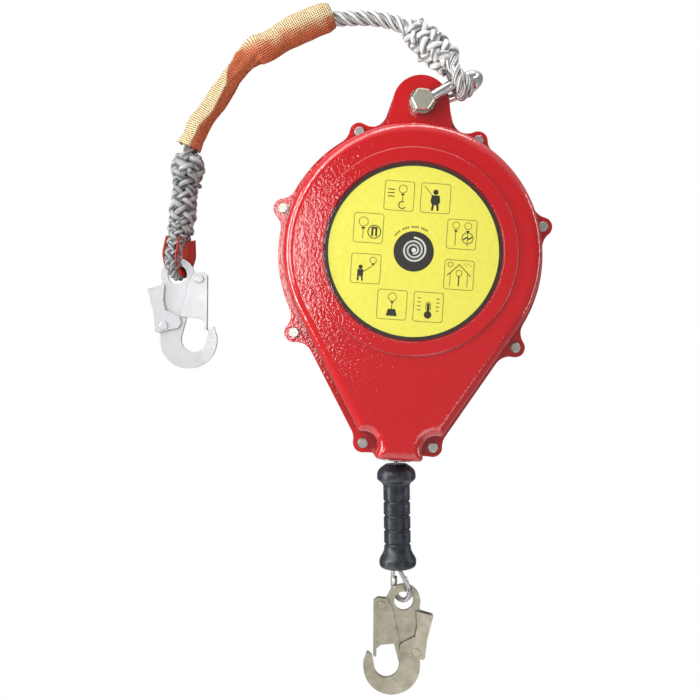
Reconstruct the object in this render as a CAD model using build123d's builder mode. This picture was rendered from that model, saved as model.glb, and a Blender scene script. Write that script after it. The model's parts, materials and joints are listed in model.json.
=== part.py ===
from build123d import *
from math import asin, cos, hypot, pi, radians, sin, tan
import os

# Self retracting lifeline: a housed cable drum with a shock brake, hung from a rope sling.

# Frame: the origin is the centre of the rear cover's flat back, on the drum's axis.
# +Z runs up to the lug, +X to the right and -Y out of the front, so depth d is y = -d.
# Every length is in millimetres.

# ---- housing ----
WALL = 5
DEPTH = 108  # rear face to front face
PARTING = 54  # depth of the joint face, which is also the suspension plane
TAPER = radians(31)  # half angle between the two lower sides
DOME_R = 152
DOME_BOTTOM = -244
DOME_DRAFT = 1.5
FRONT_ROUND = 12
REAR_ROUND = 8
FLANGE_R = 158.5
FLANGE_BOTTOM = -239
FLANGE_T = 8
EAR_R = 11.5
EAR_BLEND = 20
EARS = [(71.5, 142.5), (156, 45), (133, -102), (42, -228)]  # right-hand ears; the left ones mirror them
SCALLOP_R = 15.5  # spanner room round the lowest screws
WAIST_BLEND = 6  # fillet radius of the dome beside them
LUG_Z = 182
LUG_R = 34
LUG_HALF = 11  # half thickness of the lug
LUG_FOOT = 130  # the lug runs down into the dome as far as this
LUG_FRONT_BASE = 43
LUG_REAR_BASE = 50
RIM_OUTER_R = 121
RIM_INNER_R = 105
RIM_T = 2
PLATE_R = 102.5
PLATE_T = 1
PLATE_FLOOR = DEPTH - 1.5  # depth of the recess floor under the nameplate

# ---- fasteners ----
RIM_SCREW_R = 3
RIM_SCREW_AF = 10
RIM_HEAD_T = 4
RIM_WASHER_R = 6
RIM_WASHER_T = 1.6
PIN_R = 8
PIN_AF = 24
PIN_HEAD_T = 10
PIN_NUT_T = 13
LUG_BUSH_R = 10

# ---- shaft, drum and power spring ----
SHAFT_R = 10
ARBOR_R = 14
SHAFT_END_R = 6
SHAFT_NUT_AF = 18
SHAFT_NUT_T = 5
RUNNING = 0.05  # radial clearance of a running fit
BUSH_R = 13
DRUM_R = 114
DRUM_BACK = 33
DRUM_FRONT = 75
DRUM_FLANGE_T = 4
HUB_R = 62
HUB_WALL = 8
COIL_R = 102.5
CABLE_R = 2.5
LEAD_R = 100  # radius at which the cable's centre leaves the coil
CASE_BACK = 11
CASE_R = 88
CASE_WALL = 4
CASE_SHEET = 2
SPRING_T = 0.9
SPRING_PITCH = 7
SPRING_TURNS = 9

# ---- brake and pawls ----
CARRIER_R = 62
CARRIER_T = 9
TEETH = 24
TOOTH_TIP_R = 66
TOOTH_ROOT_R = 72
RATCHET_R = 84
RATCHET_BACK = 86
RATCHET_T = 9
LINING_T = 3
CLAMP_T = 4
CLAMP_R = 98
BRAKE_SCREW_R = 2.5
BRAKE_PCD_R = 91
BRAKE_SCREWS = 6
PAWL_PIN_R = 4
PAWL_PIVOT = 48
PAWL_REACH = 36
PAWL_T = 8
PAWL_REST = asin((64.5**2 - PAWL_PIVOT**2 - PAWL_REACH**2) / (2 * PAWL_PIVOT * PAWL_REACH))
TOOTH_FACE = 117.9  # polar angle of the foot of one locking face
TOOTH_LEAN = 4.9  # a locking face leans by this angle, square to the pawl that pushes it

# ---- cable outlet and grip ----
OUTLET_R = 14
OUTLET_COLLAR_R = 19
OUTLET_COLLAR_T = 3
FLEX_Z = -248  # the cable flexes here, between the outlet and the grip
GRIP_TILT = radians(4.9)
GRIP_START = 3  # lengths along the grip are measured down from the flex point
GRIP_LENGTH = 126
GRIP_TOP_R = 12.7
GUARD_R = 23.2  # hand guard at the grip's top
GUARD_TOP = 16.5
GUARD_BOTTOM = 20
GRIP_R = 16
GRIP_BODY = 30  # the straight body runs from here
GRIP_FLARE = 102  # to here, where it flares into the foot
FOOT_R = 22.2
FOOT_TOP = 118
FOOT_BOTTOM = 122.5
FOOT_FACE_R = 15
GRIP_GROOVES = (48, 65, 82, 99)
GROOVE_R = 2
FERRULE_R = 6
EYE_HALF = 12.7  # half width of the cable eye, on the cable's centre
EYE_TURN = radians(45)

# ---- shackle and sling ----
SHACKLE_BAR_R = 6.2
SHACKLE_LEG = 17.5  # half distance between the two legs
SHACKLE_EAR_R = 15
SHACKLE_EAR_T = 12
SHACKLE_GAP = 0.5  # side play between lug and ear
SHACKLE_RISE = radians(28.7)
SHACKLE_REACH = 76.4  # pin centre to the centre of the bow's crown
BOW_TURN = 4.5  # the bow leans out of the pin's plane by this much at each leg
SLING_EYE_REACH = 50
ROPE_R = 9
EYE_ROPE_R = 8
SPLICE_R = 16.5
SLEEVE_R = 16
BEND_UPPER = (-64, 282)
BEND_MIDDLE = (-211, 219)
BEND_LOWER = (-273, 104)
BEND_GAP = 2
ROPE_EYE_HALF = 15.3  # half width of the lower eye, on the rope's centre
ROPE_EYE_NECK = 8.5
ROPE_EYE_TURN = radians(-68)
LOOP_ROPE_R = 7.2
CUFF_R = 14.5
# The sling's centre line, as (x, z) places from the shackle round to the anchor hook
SPLICE_LINE = [(17.4, 241.3), (-7.3, 262.8), (-19.5, 270.9)]
SPLICE_FORWARD = [14, 7, 4]  # how far those places stand in front of the suspension plane
HEAD_LINE = [(-37.5, 278.3), (-54, 281.5)]
SHOULDER_LINE = [(-74, 281.6), (-92, 280), (-112, 277.5), (-147.2, 263), (-172.5, 249.8), (-196, 233.6)]
ARM_LINE = [(-220.5, 206.5), (-231.7, 185.9), (-249.9, 155.5), (-266, 122)]
TAIL_LINE = [(-273.5, 84), (-275.2, 57.8), (-276, 14)]

# ---- snap hooks ----
HOOK_T = 8
HOOK_EYE_R = 11.5
HOOK_RING_R = 20
HOOK_TILT = radians(3.5)
BOWL_R = 15
HARNESS_EYE = (20.5, -414.4)
ANCHOR_EYE = (-276.8, -42.7)
SHEET_T = 1.5
HOOK_PLAY = 0.2
HOOK_CORNER_R = 1.5
RIVET_R = 3
RIVET_HEAD_T = 1.4
SPRING_WIRE_R = 0.45
BOWL_END = (BOWL_R * cos(radians(16)) - 20, BOWL_R * sin(radians(16)) - 77)  # where the bowl meets the shank
GATE_PIVOT = (-26.8, -4.8)  # places on a hook are measured from the centre of its eye
GATE_EAR_R = 5.3
LEVER_PIVOT = (15, -61)
GATE_WEB = [(-32.5, 3), (-36, 0), (-36, -66), (-32.5, -66)]
GATE_CHEEK = [(-31, 4), (-36, 0), (-36, -54), (-32, -56), (-27, -52), (-4.8, -49.8), (-13.9, -8.6), (-20, 3)]
LEVER_WEB = [(32, -17.5), (35.3, -17), (27.8, -47), (25.7, -67.4), (23, -67), (25, -47), (30, -25)]
LEVER_CHEEK = [(14.5, -11), (35.3, -17), (27.8, -47), (25.7, -67.4), (23.5, -69.5), (-2.5, -63.5),
               (-5.5, -57), (-3.5, -50.5), (3, -47), (13.5, -42), (16, -30)]

# ---- places worked out from the sizes above ----
FRONT_WALL = DEPTH - WALL  # depth of the front wall's inner face
OUTLET_PLANE = Plane(origin=(0, -PARTING, DOME_BOTTOM))
OUTLET_BORE_R = 4.5
RIM_SEAT = PARTING + FLANGE_T
RIM_CLEARANCE_R = RIM_SCREW_R + 0.3
EAR_FRONT = PARTING + LUG_HALF + SHACKLE_GAP
EAR_REAR = PARTING - LUG_HALF - SHACKLE_GAP
PIN_HEAD = EAR_FRONT + SHACKLE_EAR_T + SHACKLE_GAP / 2
PIN_NUT_END = EAR_REAR - SHACKLE_EAR_T - SHACKLE_GAP / 2 - PIN_NUT_T
SHAFT_SEAT = 2
REAR_BOSS_R = 22
REAR_BOSS_END = 9
ARBOR_START = 12
ARBOR_END = 32
CARRIER_END = DRUM_FRONT + CARRIER_T
FRONT_BOSS_R = 20
FRONT_BOSS = 86
SHAFT_SHOULDER = 99
NUT_POCKET = 101
NUT_POCKET_R = 14
BRAKE_SEAT = RATCHET_BACK + RATCHET_T + LINING_T
BRAKE_SEAT_R = CLAMP_R
BRAKE_SCREW_END = BRAKE_SEAT + 4
BRAKE_HEAD_R = 4.5
BRAKE_HEAD_T = 3
CLAMP_BACK = RATCHET_BACK - LINING_T - CLAMP_T
BRAKE_PLACES = [(BRAKE_PCD_R * cos(pi / 3 * k), BRAKE_PCD_R * sin(pi / 3 * k)) for k in range(BRAKE_SCREWS)]
BUSH_LENGTH = 14
WINDING = DRUM_FRONT - DRUM_BACK - 2 * DRUM_FLANGE_T
COIL_TURNS = 6
LIGHTENING = [(37 * cos(pi / 3 * k), 37 * sin(pi / 3 * k)) for k in range(6)]
LIGHTENING_R = 8
CASE_BORE_R = ARBOR_R + 1
CASE_FLANGE_R = 97
CASE_FLANGE_T = 3
CASE_SCREW_R = 2
CASE_SCREWS = [(92.5 * cos(pi / 3 * k), 92.5 * sin(pi / 3 * k)) for k in range(6)]
SPRING_START_R = ARBOR_R + 2
SPRING_END_R = SPRING_START_R + SPRING_TURNS * SPRING_PITCH
SPRING_WIDTH = 16
STOP_ANGLE = 30
STOP_R = 4.5
STOP_START = DRUM_BACK + 8
STOP_END = STOP_START + 16
PAWL_PIVOTS = [(0, PAWL_PIVOT), (0, -PAWL_PIVOT)]
PAWL_BACK = RATCHET_BACK + 0.5
PAWL_HUB_R = 9
PAWL_PIN_END = PAWL_BACK + PAWL_T + 3.2
PAWL_SPRING_BACK = PAWL_BACK + PAWL_T + 0.5
LEAD_TILT = asin(LEAD_R / (-FLEX_Z - 12))  # the lead's angle from vertical, tangent to the coil
LEAD_FOOT = FLEX_Z + 12  # where the lead would meet the cable that runs out
LEAD_START = (-LEAD_R * cos(LEAD_TILT) + 36 * sin(LEAD_TILT), -PARTING,
              -LEAD_R * sin(LEAD_TILT) - 36 * cos(LEAD_TILT))
LEAD_END = (-14 * tan(LEAD_TILT), -PARTING, LEAD_FOOT + 14)
FLEX_GAP = 1.5
RUN_TOP = -COIL_R - 3.5
GRIP_END = GRIP_START + GRIP_LENGTH
GRIP_MOUTH_R = 10
GRIP_MOUTH_DEPTH = 16
FERRULE_END = GRIP_END - 6
FERRULE_START = FERRULE_END - 29
EYE_TOP_COVER = 3  # length of the cable eye that the ferrule holds
SHACKLE_STRAIGHT = SHACKLE_REACH - hypot(SHACKLE_LEG, BOW_TURN)
SLING_EYE_HALF = SHACKLE_BAR_R + EYE_ROPE_R + 1.3
SLEEVE_PLAY = 0.3
THIMBLE_SHARE = 0.55  # share of an eye's side that its thimble leaves bare, from the top
SPRING_SEAT = 2
SPRING_ROOM = HOOK_T / 2 - SPRING_SEAT - 2 * SPRING_WIRE_R - 0.1

os.makedirs("parts", exist_ok=True)


def at_depth(depth):
    """Sketch plane parallel to the front, this far in front of the rear face."""
    return Plane.XZ.offset(depth)


def mirrored(points):
    """The points and their mirror images across the middle plane."""
    return points + [(-x, z) for x, z in points]


def save(piece, name):
    """Label one finished piece and write its STEP file."""
    piece.part.label = name
    export_step(piece.part, f"parts/{name}.step")


# =====================================================================================
# Housing
# =====================================================================================
def teardrop(radius, bottom):
    """Round top of this radius, with straight sides that taper down to a flat bottom."""
    side_x = radius * cos(TAPER)
    side_z = -radius * sin(TAPER)
    foot_x = (radius + bottom * sin(TAPER)) / cos(TAPER)
    with BuildLine() as outline:
        ThreePointArc((side_x, side_z), (0, radius), (-side_x, side_z))
        Polyline((-side_x, side_z), (-foot_x, bottom), (foot_x, bottom), (side_x, side_z))
    make_face(outline.edges())


def lug_outline(base):
    """Round-topped lug that widens down to the given half width on the dome."""
    spread = asin((base - LUG_R) / hypot(base, LUG_Z - DOME_R))
    side = (LUG_R * cos(spread), LUG_Z + LUG_R * sin(spread))
    with BuildLine() as outline:
        ThreePointArc(side, (0, LUG_Z + LUG_R), (-side[0], side[1]))
        Polyline((-side[0], side[1]), (-base, LUG_FOOT), (base, LUG_FOOT), side)
    make_face(outline.edges())


def dome_outline():
    """Outline of the domed body, waisted beside the two lowest screws."""
    teardrop(DOME_R, DOME_BOTTOM)
    with Locations(mirrored(EARS[-1:])):
        Circle(SCALLOP_R, mode=Mode.SUBTRACT)
    for change in (-WAIST_BLEND, 2 * WAIST_BLEND, -WAIST_BLEND):
        offset(amount=change, kind=Kind.ARC)


def cavity_outline():
    """The dome's outline moved in by the wall."""
    teardrop(DOME_R - WALL, DOME_BOTTOM + WALL)
    with Locations(mirrored(EARS[-1:])):
        Circle(SCALLOP_R + WALL, mode=Mode.SUBTRACT)


def flange_outline(lug_base):
    """Rim flange with its eight ears and the lug, all blended together."""
    teardrop(FLANGE_R, FLANGE_BOTTOM)
    with Locations(mirrored(EARS)):
        Circle(EAR_R)
    lug_outline(lug_base)
    offset(amount=EAR_BLEND, kind=Kind.ARC)
    offset(amount=-EAR_BLEND, kind=Kind.ARC)


def polar(radius, angle):
    """Point at this radius and angle in degrees, round the drum's axis."""
    return (radius * cos(radians(angle)), radius * sin(radians(angle)))


def ring(radius, start, end, bore=0, mode=Mode.ADD):
    """Disc or ring round the drum's axis, from one depth to another."""
    with BuildSketch(at_depth(start)) as profile:
        Circle(radius)
        if bore:
            Circle(bore, mode=Mode.SUBTRACT)
    extrude(profile.sketch, amount=end - start, mode=mode)


def rods(places, radius, start, end, bore=0, mode=Mode.ADD):
    """The same disc or ring at several places across the front."""
    with BuildSketch(at_depth(start)) as profile:
        with Locations(places):
            Circle(radius)
            if bore:
                Circle(bore, mode=Mode.SUBTRACT)
    extrude(profile.sketch, amount=end - start, mode=mode)


def hexagons(places, across_flats, start, end):
    """Hexagonal heads or nuts at several places across the front."""
    with BuildSketch(at_depth(start)) as profile:
        with Locations(places):
            RegularPolygon(across_flats / 2, 6, major_radius=False)
    extrude(profile.sketch, amount=end - start)


RIM_SCREWS = mirrored(EARS)
LUG_CENTRE = (0, LUG_Z)

with BuildPart() as rear_cover:
    with BuildSketch(at_depth(0)):
        dome_outline()
    extrude(amount=PARTING)
    fillet(rear_cover.faces().sort_by(Axis.Y)[-1].edges(), REAR_ROUND)
    with BuildSketch(at_depth(PARTING - FLANGE_T)):
        flange_outline(LUG_REAR_BASE)
    extrude(amount=FLANGE_T)
    with BuildSketch(at_depth(PARTING - LUG_HALF)):
        lug_outline(LUG_REAR_BASE)
    extrude(amount=LUG_HALF)
    with BuildSketch(at_depth(WALL)):
        cavity_outline()
    extrude(amount=PARTING - WALL, mode=Mode.SUBTRACT)
    ring(REAR_BOSS_R, WALL, REAR_BOSS_END)
    ring(SHAFT_R, SHAFT_SEAT, REAR_BOSS_END, mode=Mode.SUBTRACT)
    rods([LUG_CENTRE], LUG_BUSH_R, PARTING - LUG_HALF, PARTING, mode=Mode.SUBTRACT)
    rods(RIM_SCREWS, RIM_SCREW_R, PARTING - FLANGE_T, PARTING, mode=Mode.SUBTRACT)
    with BuildSketch(OUTLET_PLANE):
        Circle(OUTLET_R)
    extrude(amount=3 * WALL, both=True, mode=Mode.SUBTRACT)
save(rear_cover, "rear_cover")

with BuildPart() as front_cover:
    with BuildSketch(at_depth(PARTING)):
        dome_outline()
    extrude(amount=DEPTH - PARTING, taper=DOME_DRAFT)
    fillet(front_cover.faces().sort_by(Axis.Y)[0].edges(), FRONT_ROUND)
    ring(RIM_OUTER_R, DEPTH, DEPTH + RIM_T)
    fillet(front_cover.faces().sort_by(Axis.Y)[0].edges(), RIM_T / 2)
    ring(RIM_INNER_R, PLATE_FLOOR, DEPTH + RIM_T, mode=Mode.SUBTRACT)
    with BuildSketch(at_depth(PARTING)):
        flange_outline(LUG_FRONT_BASE)
    extrude(amount=FLANGE_T)
    with BuildSketch(at_depth(PARTING)):
        lug_outline(LUG_FRONT_BASE)
    extrude(amount=LUG_HALF)
    with BuildSketch(at_depth(PARTING)):
        cavity_outline()
    extrude(amount=FRONT_WALL - PARTING, mode=Mode.SUBTRACT)
    ring(BRAKE_SEAT_R, BRAKE_SEAT, FRONT_WALL, bore=TOOTH_ROOT_R)
    rods(BRAKE_PLACES, BRAKE_SCREW_R, BRAKE_SEAT, BRAKE_SCREW_END, mode=Mode.SUBTRACT)
    ring(FRONT_BOSS_R, FRONT_BOSS, FRONT_WALL)
    ring(SHAFT_R, FRONT_BOSS, SHAFT_SHOULDER, mode=Mode.SUBTRACT)
    ring(SHAFT_END_R, SHAFT_SHOULDER, PLATE_FLOOR, mode=Mode.SUBTRACT)
    ring(NUT_POCKET_R, NUT_POCKET, PLATE_FLOOR, mode=Mode.SUBTRACT)
    rods([LUG_CENTRE], LUG_BUSH_R, PARTING, PARTING + LUG_HALF, mode=Mode.SUBTRACT)
    rods(RIM_SCREWS, RIM_CLEARANCE_R, PARTING, PARTING + FLANGE_T, mode=Mode.SUBTRACT)
    with BuildSketch(OUTLET_PLANE):
        Circle(OUTLET_R)
    extrude(amount=3 * WALL, both=True, mode=Mode.SUBTRACT)
save(front_cover, "front_cover")

with BuildPart() as nameplate:
    ring(PLATE_R, PLATE_FLOOR, PLATE_FLOOR + PLATE_T)
save(nameplate, "nameplate")

with BuildPart() as rim_washers:
    rods(RIM_SCREWS, RIM_WASHER_R, RIM_SEAT, RIM_SEAT + RIM_WASHER_T, bore=RIM_SCREW_R)
save(rim_washers, "rim_washers")

with BuildPart() as rim_screws:
    rods(RIM_SCREWS, RIM_SCREW_R, PARTING - FLANGE_T, RIM_SEAT + RIM_WASHER_T)
    hexagons(RIM_SCREWS, RIM_SCREW_AF, RIM_SEAT + RIM_WASHER_T, RIM_SEAT + RIM_WASHER_T + RIM_HEAD_T)
save(rim_screws, "rim_screws")

with BuildPart() as lug_bush:
    rods([LUG_CENTRE], LUG_BUSH_R, PARTING - LUG_HALF, PARTING + LUG_HALF, bore=PIN_R)
save(lug_bush, "lug_bush")

with BuildPart() as lug_bolt:
    rods([LUG_CENTRE], PIN_R, PIN_NUT_END - 3, PIN_HEAD)
    hexagons([LUG_CENTRE], PIN_AF, PIN_HEAD, PIN_HEAD + PIN_HEAD_T)
    chamfer(lug_bolt.faces().sort_by(Axis.Y)[0].edges(), 1.2)
save(lug_bolt, "lug_bolt")

with BuildPart() as lug_nut:
    hexagons([LUG_CENTRE], PIN_AF, PIN_NUT_END, PIN_NUT_END + PIN_NUT_T)
    rods([LUG_CENTRE], PIN_R, PIN_NUT_END, PIN_NUT_END + PIN_NUT_T, mode=Mode.SUBTRACT)
save(lug_nut, "lug_nut")

with BuildPart() as outlet_bush:
    with BuildSketch(OUTLET_PLANE.offset(-OUTLET_COLLAR_T)):
        Circle(OUTLET_COLLAR_R)
    extrude(amount=OUTLET_COLLAR_T)
    with BuildSketch(OUTLET_PLANE):
        Circle(OUTLET_R)
    extrude(amount=WALL)
    with BuildSketch(OUTLET_PLANE.offset(WALL)):
        Circle(OUTLET_R + 3)
    extrude(amount=OUTLET_COLLAR_T)
    chamfer(outlet_bush.faces().sort_by(Axis.Z)[0].edges(), 1)
    with BuildSketch(OUTLET_PLANE.offset(-OUTLET_COLLAR_T)):
        Circle(OUTLET_BORE_R)
    extrude(amount=4 * WALL, mode=Mode.SUBTRACT)
save(outlet_bush, "outlet_bush")

# =====================================================================================
# Shaft, drum and power spring
# =====================================================================================
with BuildPart() as main_shaft:
    ring(SHAFT_R, SHAFT_SEAT, SHAFT_SHOULDER)
    ring(ARBOR_R, ARBOR_START, ARBOR_END)
    ring(SHAFT_END_R, SHAFT_SHOULDER, NUT_POCKET + SHAFT_NUT_T)
save(main_shaft, "main_shaft")

with BuildPart() as shaft_nut:
    hexagons([(0, 0)], SHAFT_NUT_AF, NUT_POCKET, NUT_POCKET + SHAFT_NUT_T)
    ring(SHAFT_END_R, NUT_POCKET, NUT_POCKET + SHAFT_NUT_T, mode=Mode.SUBTRACT)
save(shaft_nut, "shaft_nut")

with BuildPart() as thrust_washers:
    ring(BUSH_R, ARBOR_END + 0.1, DRUM_BACK - 0.1, bore=SHAFT_R)
    ring(BUSH_R, CARRIER_END + 0.1, FRONT_BOSS - 0.1, bore=SHAFT_R)
save(thrust_washers, "thrust_washers")

with BuildPart() as drum:
    ring(DRUM_R, DRUM_BACK, DRUM_BACK + DRUM_FLANGE_T)
    ring(HUB_R, DRUM_BACK, DRUM_FRONT)
    ring(DRUM_R, DRUM_FRONT - DRUM_FLANGE_T, DRUM_FRONT)
    ring(HUB_R - HUB_WALL, DRUM_BACK + DRUM_FLANGE_T, DRUM_FRONT - DRUM_FLANGE_T,
         bore=BUSH_R + 5, mode=Mode.SUBTRACT)
    ring(BUSH_R, DRUM_BACK, DRUM_FRONT, mode=Mode.SUBTRACT)
    rods(LIGHTENING, LIGHTENING_R, DRUM_BACK, DRUM_FRONT, mode=Mode.SUBTRACT)
    rods(CASE_SCREWS, CASE_SCREW_R, DRUM_BACK, DRUM_BACK + DRUM_FLANGE_T, mode=Mode.SUBTRACT)
    rods([polar(HUB_R, STOP_ANGLE)], STOP_R, STOP_START, STOP_END, mode=Mode.SUBTRACT)
save(drum, "drum")

with BuildPart() as drum_bushes:
    ring(BUSH_R, DRUM_BACK, DRUM_BACK + BUSH_LENGTH, bore=SHAFT_R + RUNNING)
    ring(BUSH_R, CARRIER_END - BUSH_LENGTH, CARRIER_END, bore=SHAFT_R + RUNNING)
save(drum_bushes, "drum_bushes")

with BuildPart() as cable_stop:
    rods([polar(HUB_R, STOP_ANGLE)], STOP_R, STOP_START, STOP_END)
    ring(HUB_R, STOP_START, STOP_END, mode=Mode.INTERSECT)
save(cable_stop, "cable_stop")

# The wound rope: a solid ring of turns, whose outer layer shows each turn.
with BuildPart() as cable_coil:
    with BuildSketch(Plane.XY):
        with Locations(((HUB_R + LEAD_R) / 2, -PARTING)):
            Rectangle(LEAD_R - HUB_R, WINDING)
        with GridLocations(0, WINDING / COIL_TURNS, 1, COIL_TURNS):
            with Locations((LEAD_R, -PARTING)):
                Circle(CABLE_R)
    revolve(axis=Axis.Y)
save(cable_coil, "cable_coil")

with BuildPart() as spring_case:
    ring(CASE_R, CASE_BACK + CASE_SHEET, DRUM_BACK)
    ring(CASE_FLANGE_R, DRUM_BACK - CASE_FLANGE_T, DRUM_BACK)
    ring(CASE_R - CASE_WALL, CASE_BACK + CASE_SHEET, DRUM_BACK - CASE_SHEET, mode=Mode.SUBTRACT)
    ring(CASE_BORE_R, CASE_BACK, DRUM_BACK, mode=Mode.SUBTRACT)
    rods(CASE_SCREWS, CASE_SCREW_R, CASE_BACK, DRUM_BACK, mode=Mode.SUBTRACT)
save(spring_case, "spring_case")

with BuildPart() as case_cover:
    ring(CASE_R, CASE_BACK, CASE_BACK + CASE_SHEET, bore=CASE_BORE_R)
save(case_cover, "case_cover")

with BuildPart() as case_screws:
    rods(CASE_SCREWS, CASE_SCREW_R, DRUM_BACK - CASE_FLANGE_T, DRUM_BACK + DRUM_FLANGE_T)
    rods(CASE_SCREWS, 2 * CASE_SCREW_R, DRUM_BACK - CASE_FLANGE_T - 3, DRUM_BACK - CASE_FLANGE_T)
save(case_screws, "case_screws")


def spiral(shift):
    """One face of the spring strip: half turns about two centres half a pitch apart."""
    for turn in range(SPRING_TURNS):
        radius = SPRING_START_R + turn * SPRING_PITCH + shift
        CenterArc((0, 0), radius, 0, 180)
        CenterArc((SPRING_PITCH / 2, 0), radius + SPRING_PITCH / 2, 180, 180)


with BuildPart() as power_spring:
    with BuildSketch(at_depth(CASE_BACK + CASE_SHEET + 1)):
        with BuildLine():
            spiral(-SPRING_T / 2)
            spiral(SPRING_T / 2)
            Line((SPRING_START_R - SPRING_T / 2, 0), (SPRING_START_R + SPRING_T / 2, 0))
            Line((SPRING_END_R - SPRING_T / 2, 0), (SPRING_END_R + SPRING_T / 2, 0))
        make_face()
    extrude(amount=SPRING_WIDTH)
save(power_spring, "power_spring")

# =====================================================================================
# Pawls and shock brake
# =====================================================================================
with BuildPart() as pawl_carrier:
    ring(CARRIER_R, DRUM_FRONT, CARRIER_END, bore=BUSH_R)
    rods(PAWL_PIVOTS, PAWL_PIN_R, DRUM_FRONT, CARRIER_END, mode=Mode.SUBTRACT)
    fillet(pawl_carrier.faces().sort_by(Axis.Y)[0].edges().sort_by(SortBy.LENGTH)[-1], 1)
save(pawl_carrier, "pawl_carrier")

with BuildPart() as pawl_pins:
    rods(PAWL_PIVOTS, PAWL_PIN_R, DRUM_FRONT, PAWL_PIN_END)
    rods(PAWL_PIVOTS, PAWL_PIN_R + 2.5, PAWL_PIN_END, PAWL_PIN_END + 2)
save(pawl_pins, "pawl_pins")


def pawl(side):
    """Pawl on the upper (side 1) or lower (side -1) pivot, its nose drawn in from the teeth."""
    reach_dir = (-side * cos(PAWL_REST), 0, side * sin(PAWL_REST))
    plane = Plane(origin=(0, -PAWL_BACK, side * PAWL_PIVOT), x_dir=reach_dir, z_dir=(0, -1, 0))
    with BuildSketch(plane) as profile:
        with BuildLine() as outline:
            Polyline((PAWL_REACH, 0), (PAWL_REACH - 1.4, 7.5), (0, PAWL_HUB_R), (-12, PAWL_HUB_R - 2),
                     (-12, -PAWL_HUB_R + 2), (0, -PAWL_HUB_R), (PAWL_REACH, 0))
        make_face(outline.edges())
        Circle(PAWL_HUB_R)
        Circle(PAWL_PIN_R + RUNNING, mode=Mode.SUBTRACT)
    extrude(profile.sketch, amount=PAWL_T)


with BuildPart() as pawl_a:
    pawl(1)
save(pawl_a, "pawl_a")

with BuildPart() as pawl_b:
    pawl(-1)
save(pawl_b, "pawl_b")


def wire_coil(centre, direction, radius, height, wire_r):
    """Close-wound coil of round wire, measured between the centres of its end turns."""
    with BuildLine() as coil:
        Helix(2 * wire_r + 0.1, height, radius, center=centre, direction=direction)
    path = coil.line
    with BuildSketch(Plane(origin=path @ 0, z_dir=path % 0)) as section:
        Circle(wire_r)
    sweep(section.sketch, path=path, is_frenet=True)


with BuildPart() as pawl_springs:
    for place_z in (PAWL_PIVOT, -PAWL_PIVOT):
        wire_coil((0, -PAWL_SPRING_BACK, place_z), (0, -1, 0), PAWL_PIN_R + 0.8, 2, 0.4)
save(pawl_springs, "pawl_springs")

with BuildPart() as ratchet_ring:
    with BuildSketch(at_depth(RATCHET_BACK)):
        Circle(RATCHET_R)
        with BuildLine():
            TEETH_OUTLINE = []
            for tooth in range(TEETH):
                angle = TOOTH_FACE + tooth * 360 / TEETH
                TEETH_OUTLINE += [polar(TOOTH_ROOT_R, angle), polar(TOOTH_TIP_R, angle + TOOTH_LEAN)]
            Polyline(*TEETH_OUTLINE, close=True)
        make_face(mode=Mode.SUBTRACT)
    extrude(amount=RATCHET_T)
save(ratchet_ring, "ratchet_ring")

with BuildPart() as lining_rear:
    ring(RATCHET_R - 0.5, RATCHET_BACK - LINING_T, RATCHET_BACK, bore=TOOTH_ROOT_R + 1)
save(lining_rear, "lining_rear")

with BuildPart() as lining_front:
    ring(RATCHET_R - 0.5, BRAKE_SEAT - LINING_T, BRAKE_SEAT, bore=TOOTH_ROOT_R + 1)
save(lining_front, "lining_front")

with BuildPart() as clamp_ring:
    ring(CLAMP_R, CLAMP_BACK, CLAMP_BACK + CLAMP_T, bore=TOOTH_ROOT_R)
    rods(BRAKE_PLACES, BRAKE_SCREW_R, CLAMP_BACK, CLAMP_BACK + CLAMP_T, mode=Mode.SUBTRACT)
save(clamp_ring, "clamp_ring")

with BuildPart() as brake_screws:
    rods(BRAKE_PLACES, BRAKE_SCREW_R, CLAMP_BACK, BRAKE_SCREW_END)
    rods(BRAKE_PLACES, BRAKE_HEAD_R, CLAMP_BACK - BRAKE_HEAD_T, CLAMP_BACK)
save(brake_screws, "brake_screws")

# =====================================================================================
# Cable, grip and cable eye
# =====================================================================================
def tube(path, radius, mode=Mode.ADD):
    """Round bar of this radius along a path."""
    with BuildSketch(Plane(origin=path @ 0, z_dir=path % 0)) as section:
        Circle(radius)
    sweep(section.sketch, path=path, mode=mode)


# The run from the drum to the outlet leaves the coil on its left-hand side.
with BuildPart() as lead_cable:
    with BuildLine() as lead_path:
        Line(LEAD_START, LEAD_END)
    tube(lead_path.line, CABLE_R)
save(lead_cable, "lead_cable")

with BuildPart() as cable_run:
    with BuildSketch(Plane(origin=(0, -PARTING, FLEX_Z + FLEX_GAP))):
        Circle(CABLE_R)
    extrude(amount=RUN_TOP - FLEX_Z - FLEX_GAP)
save(cable_run, "cable_run")

GRIP_UP = Vector(-sin(GRIP_TILT), 0, cos(GRIP_TILT))
GRIP_PLANE = Plane(origin=(0, -PARTING, FLEX_Z), x_dir=(cos(GRIP_TILT), 0, sin(GRIP_TILT)), z_dir=(0, -1, 0))
GRIP_AXIS = Axis(GRIP_PLANE.origin, GRIP_PLANE.y_dir)

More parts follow.
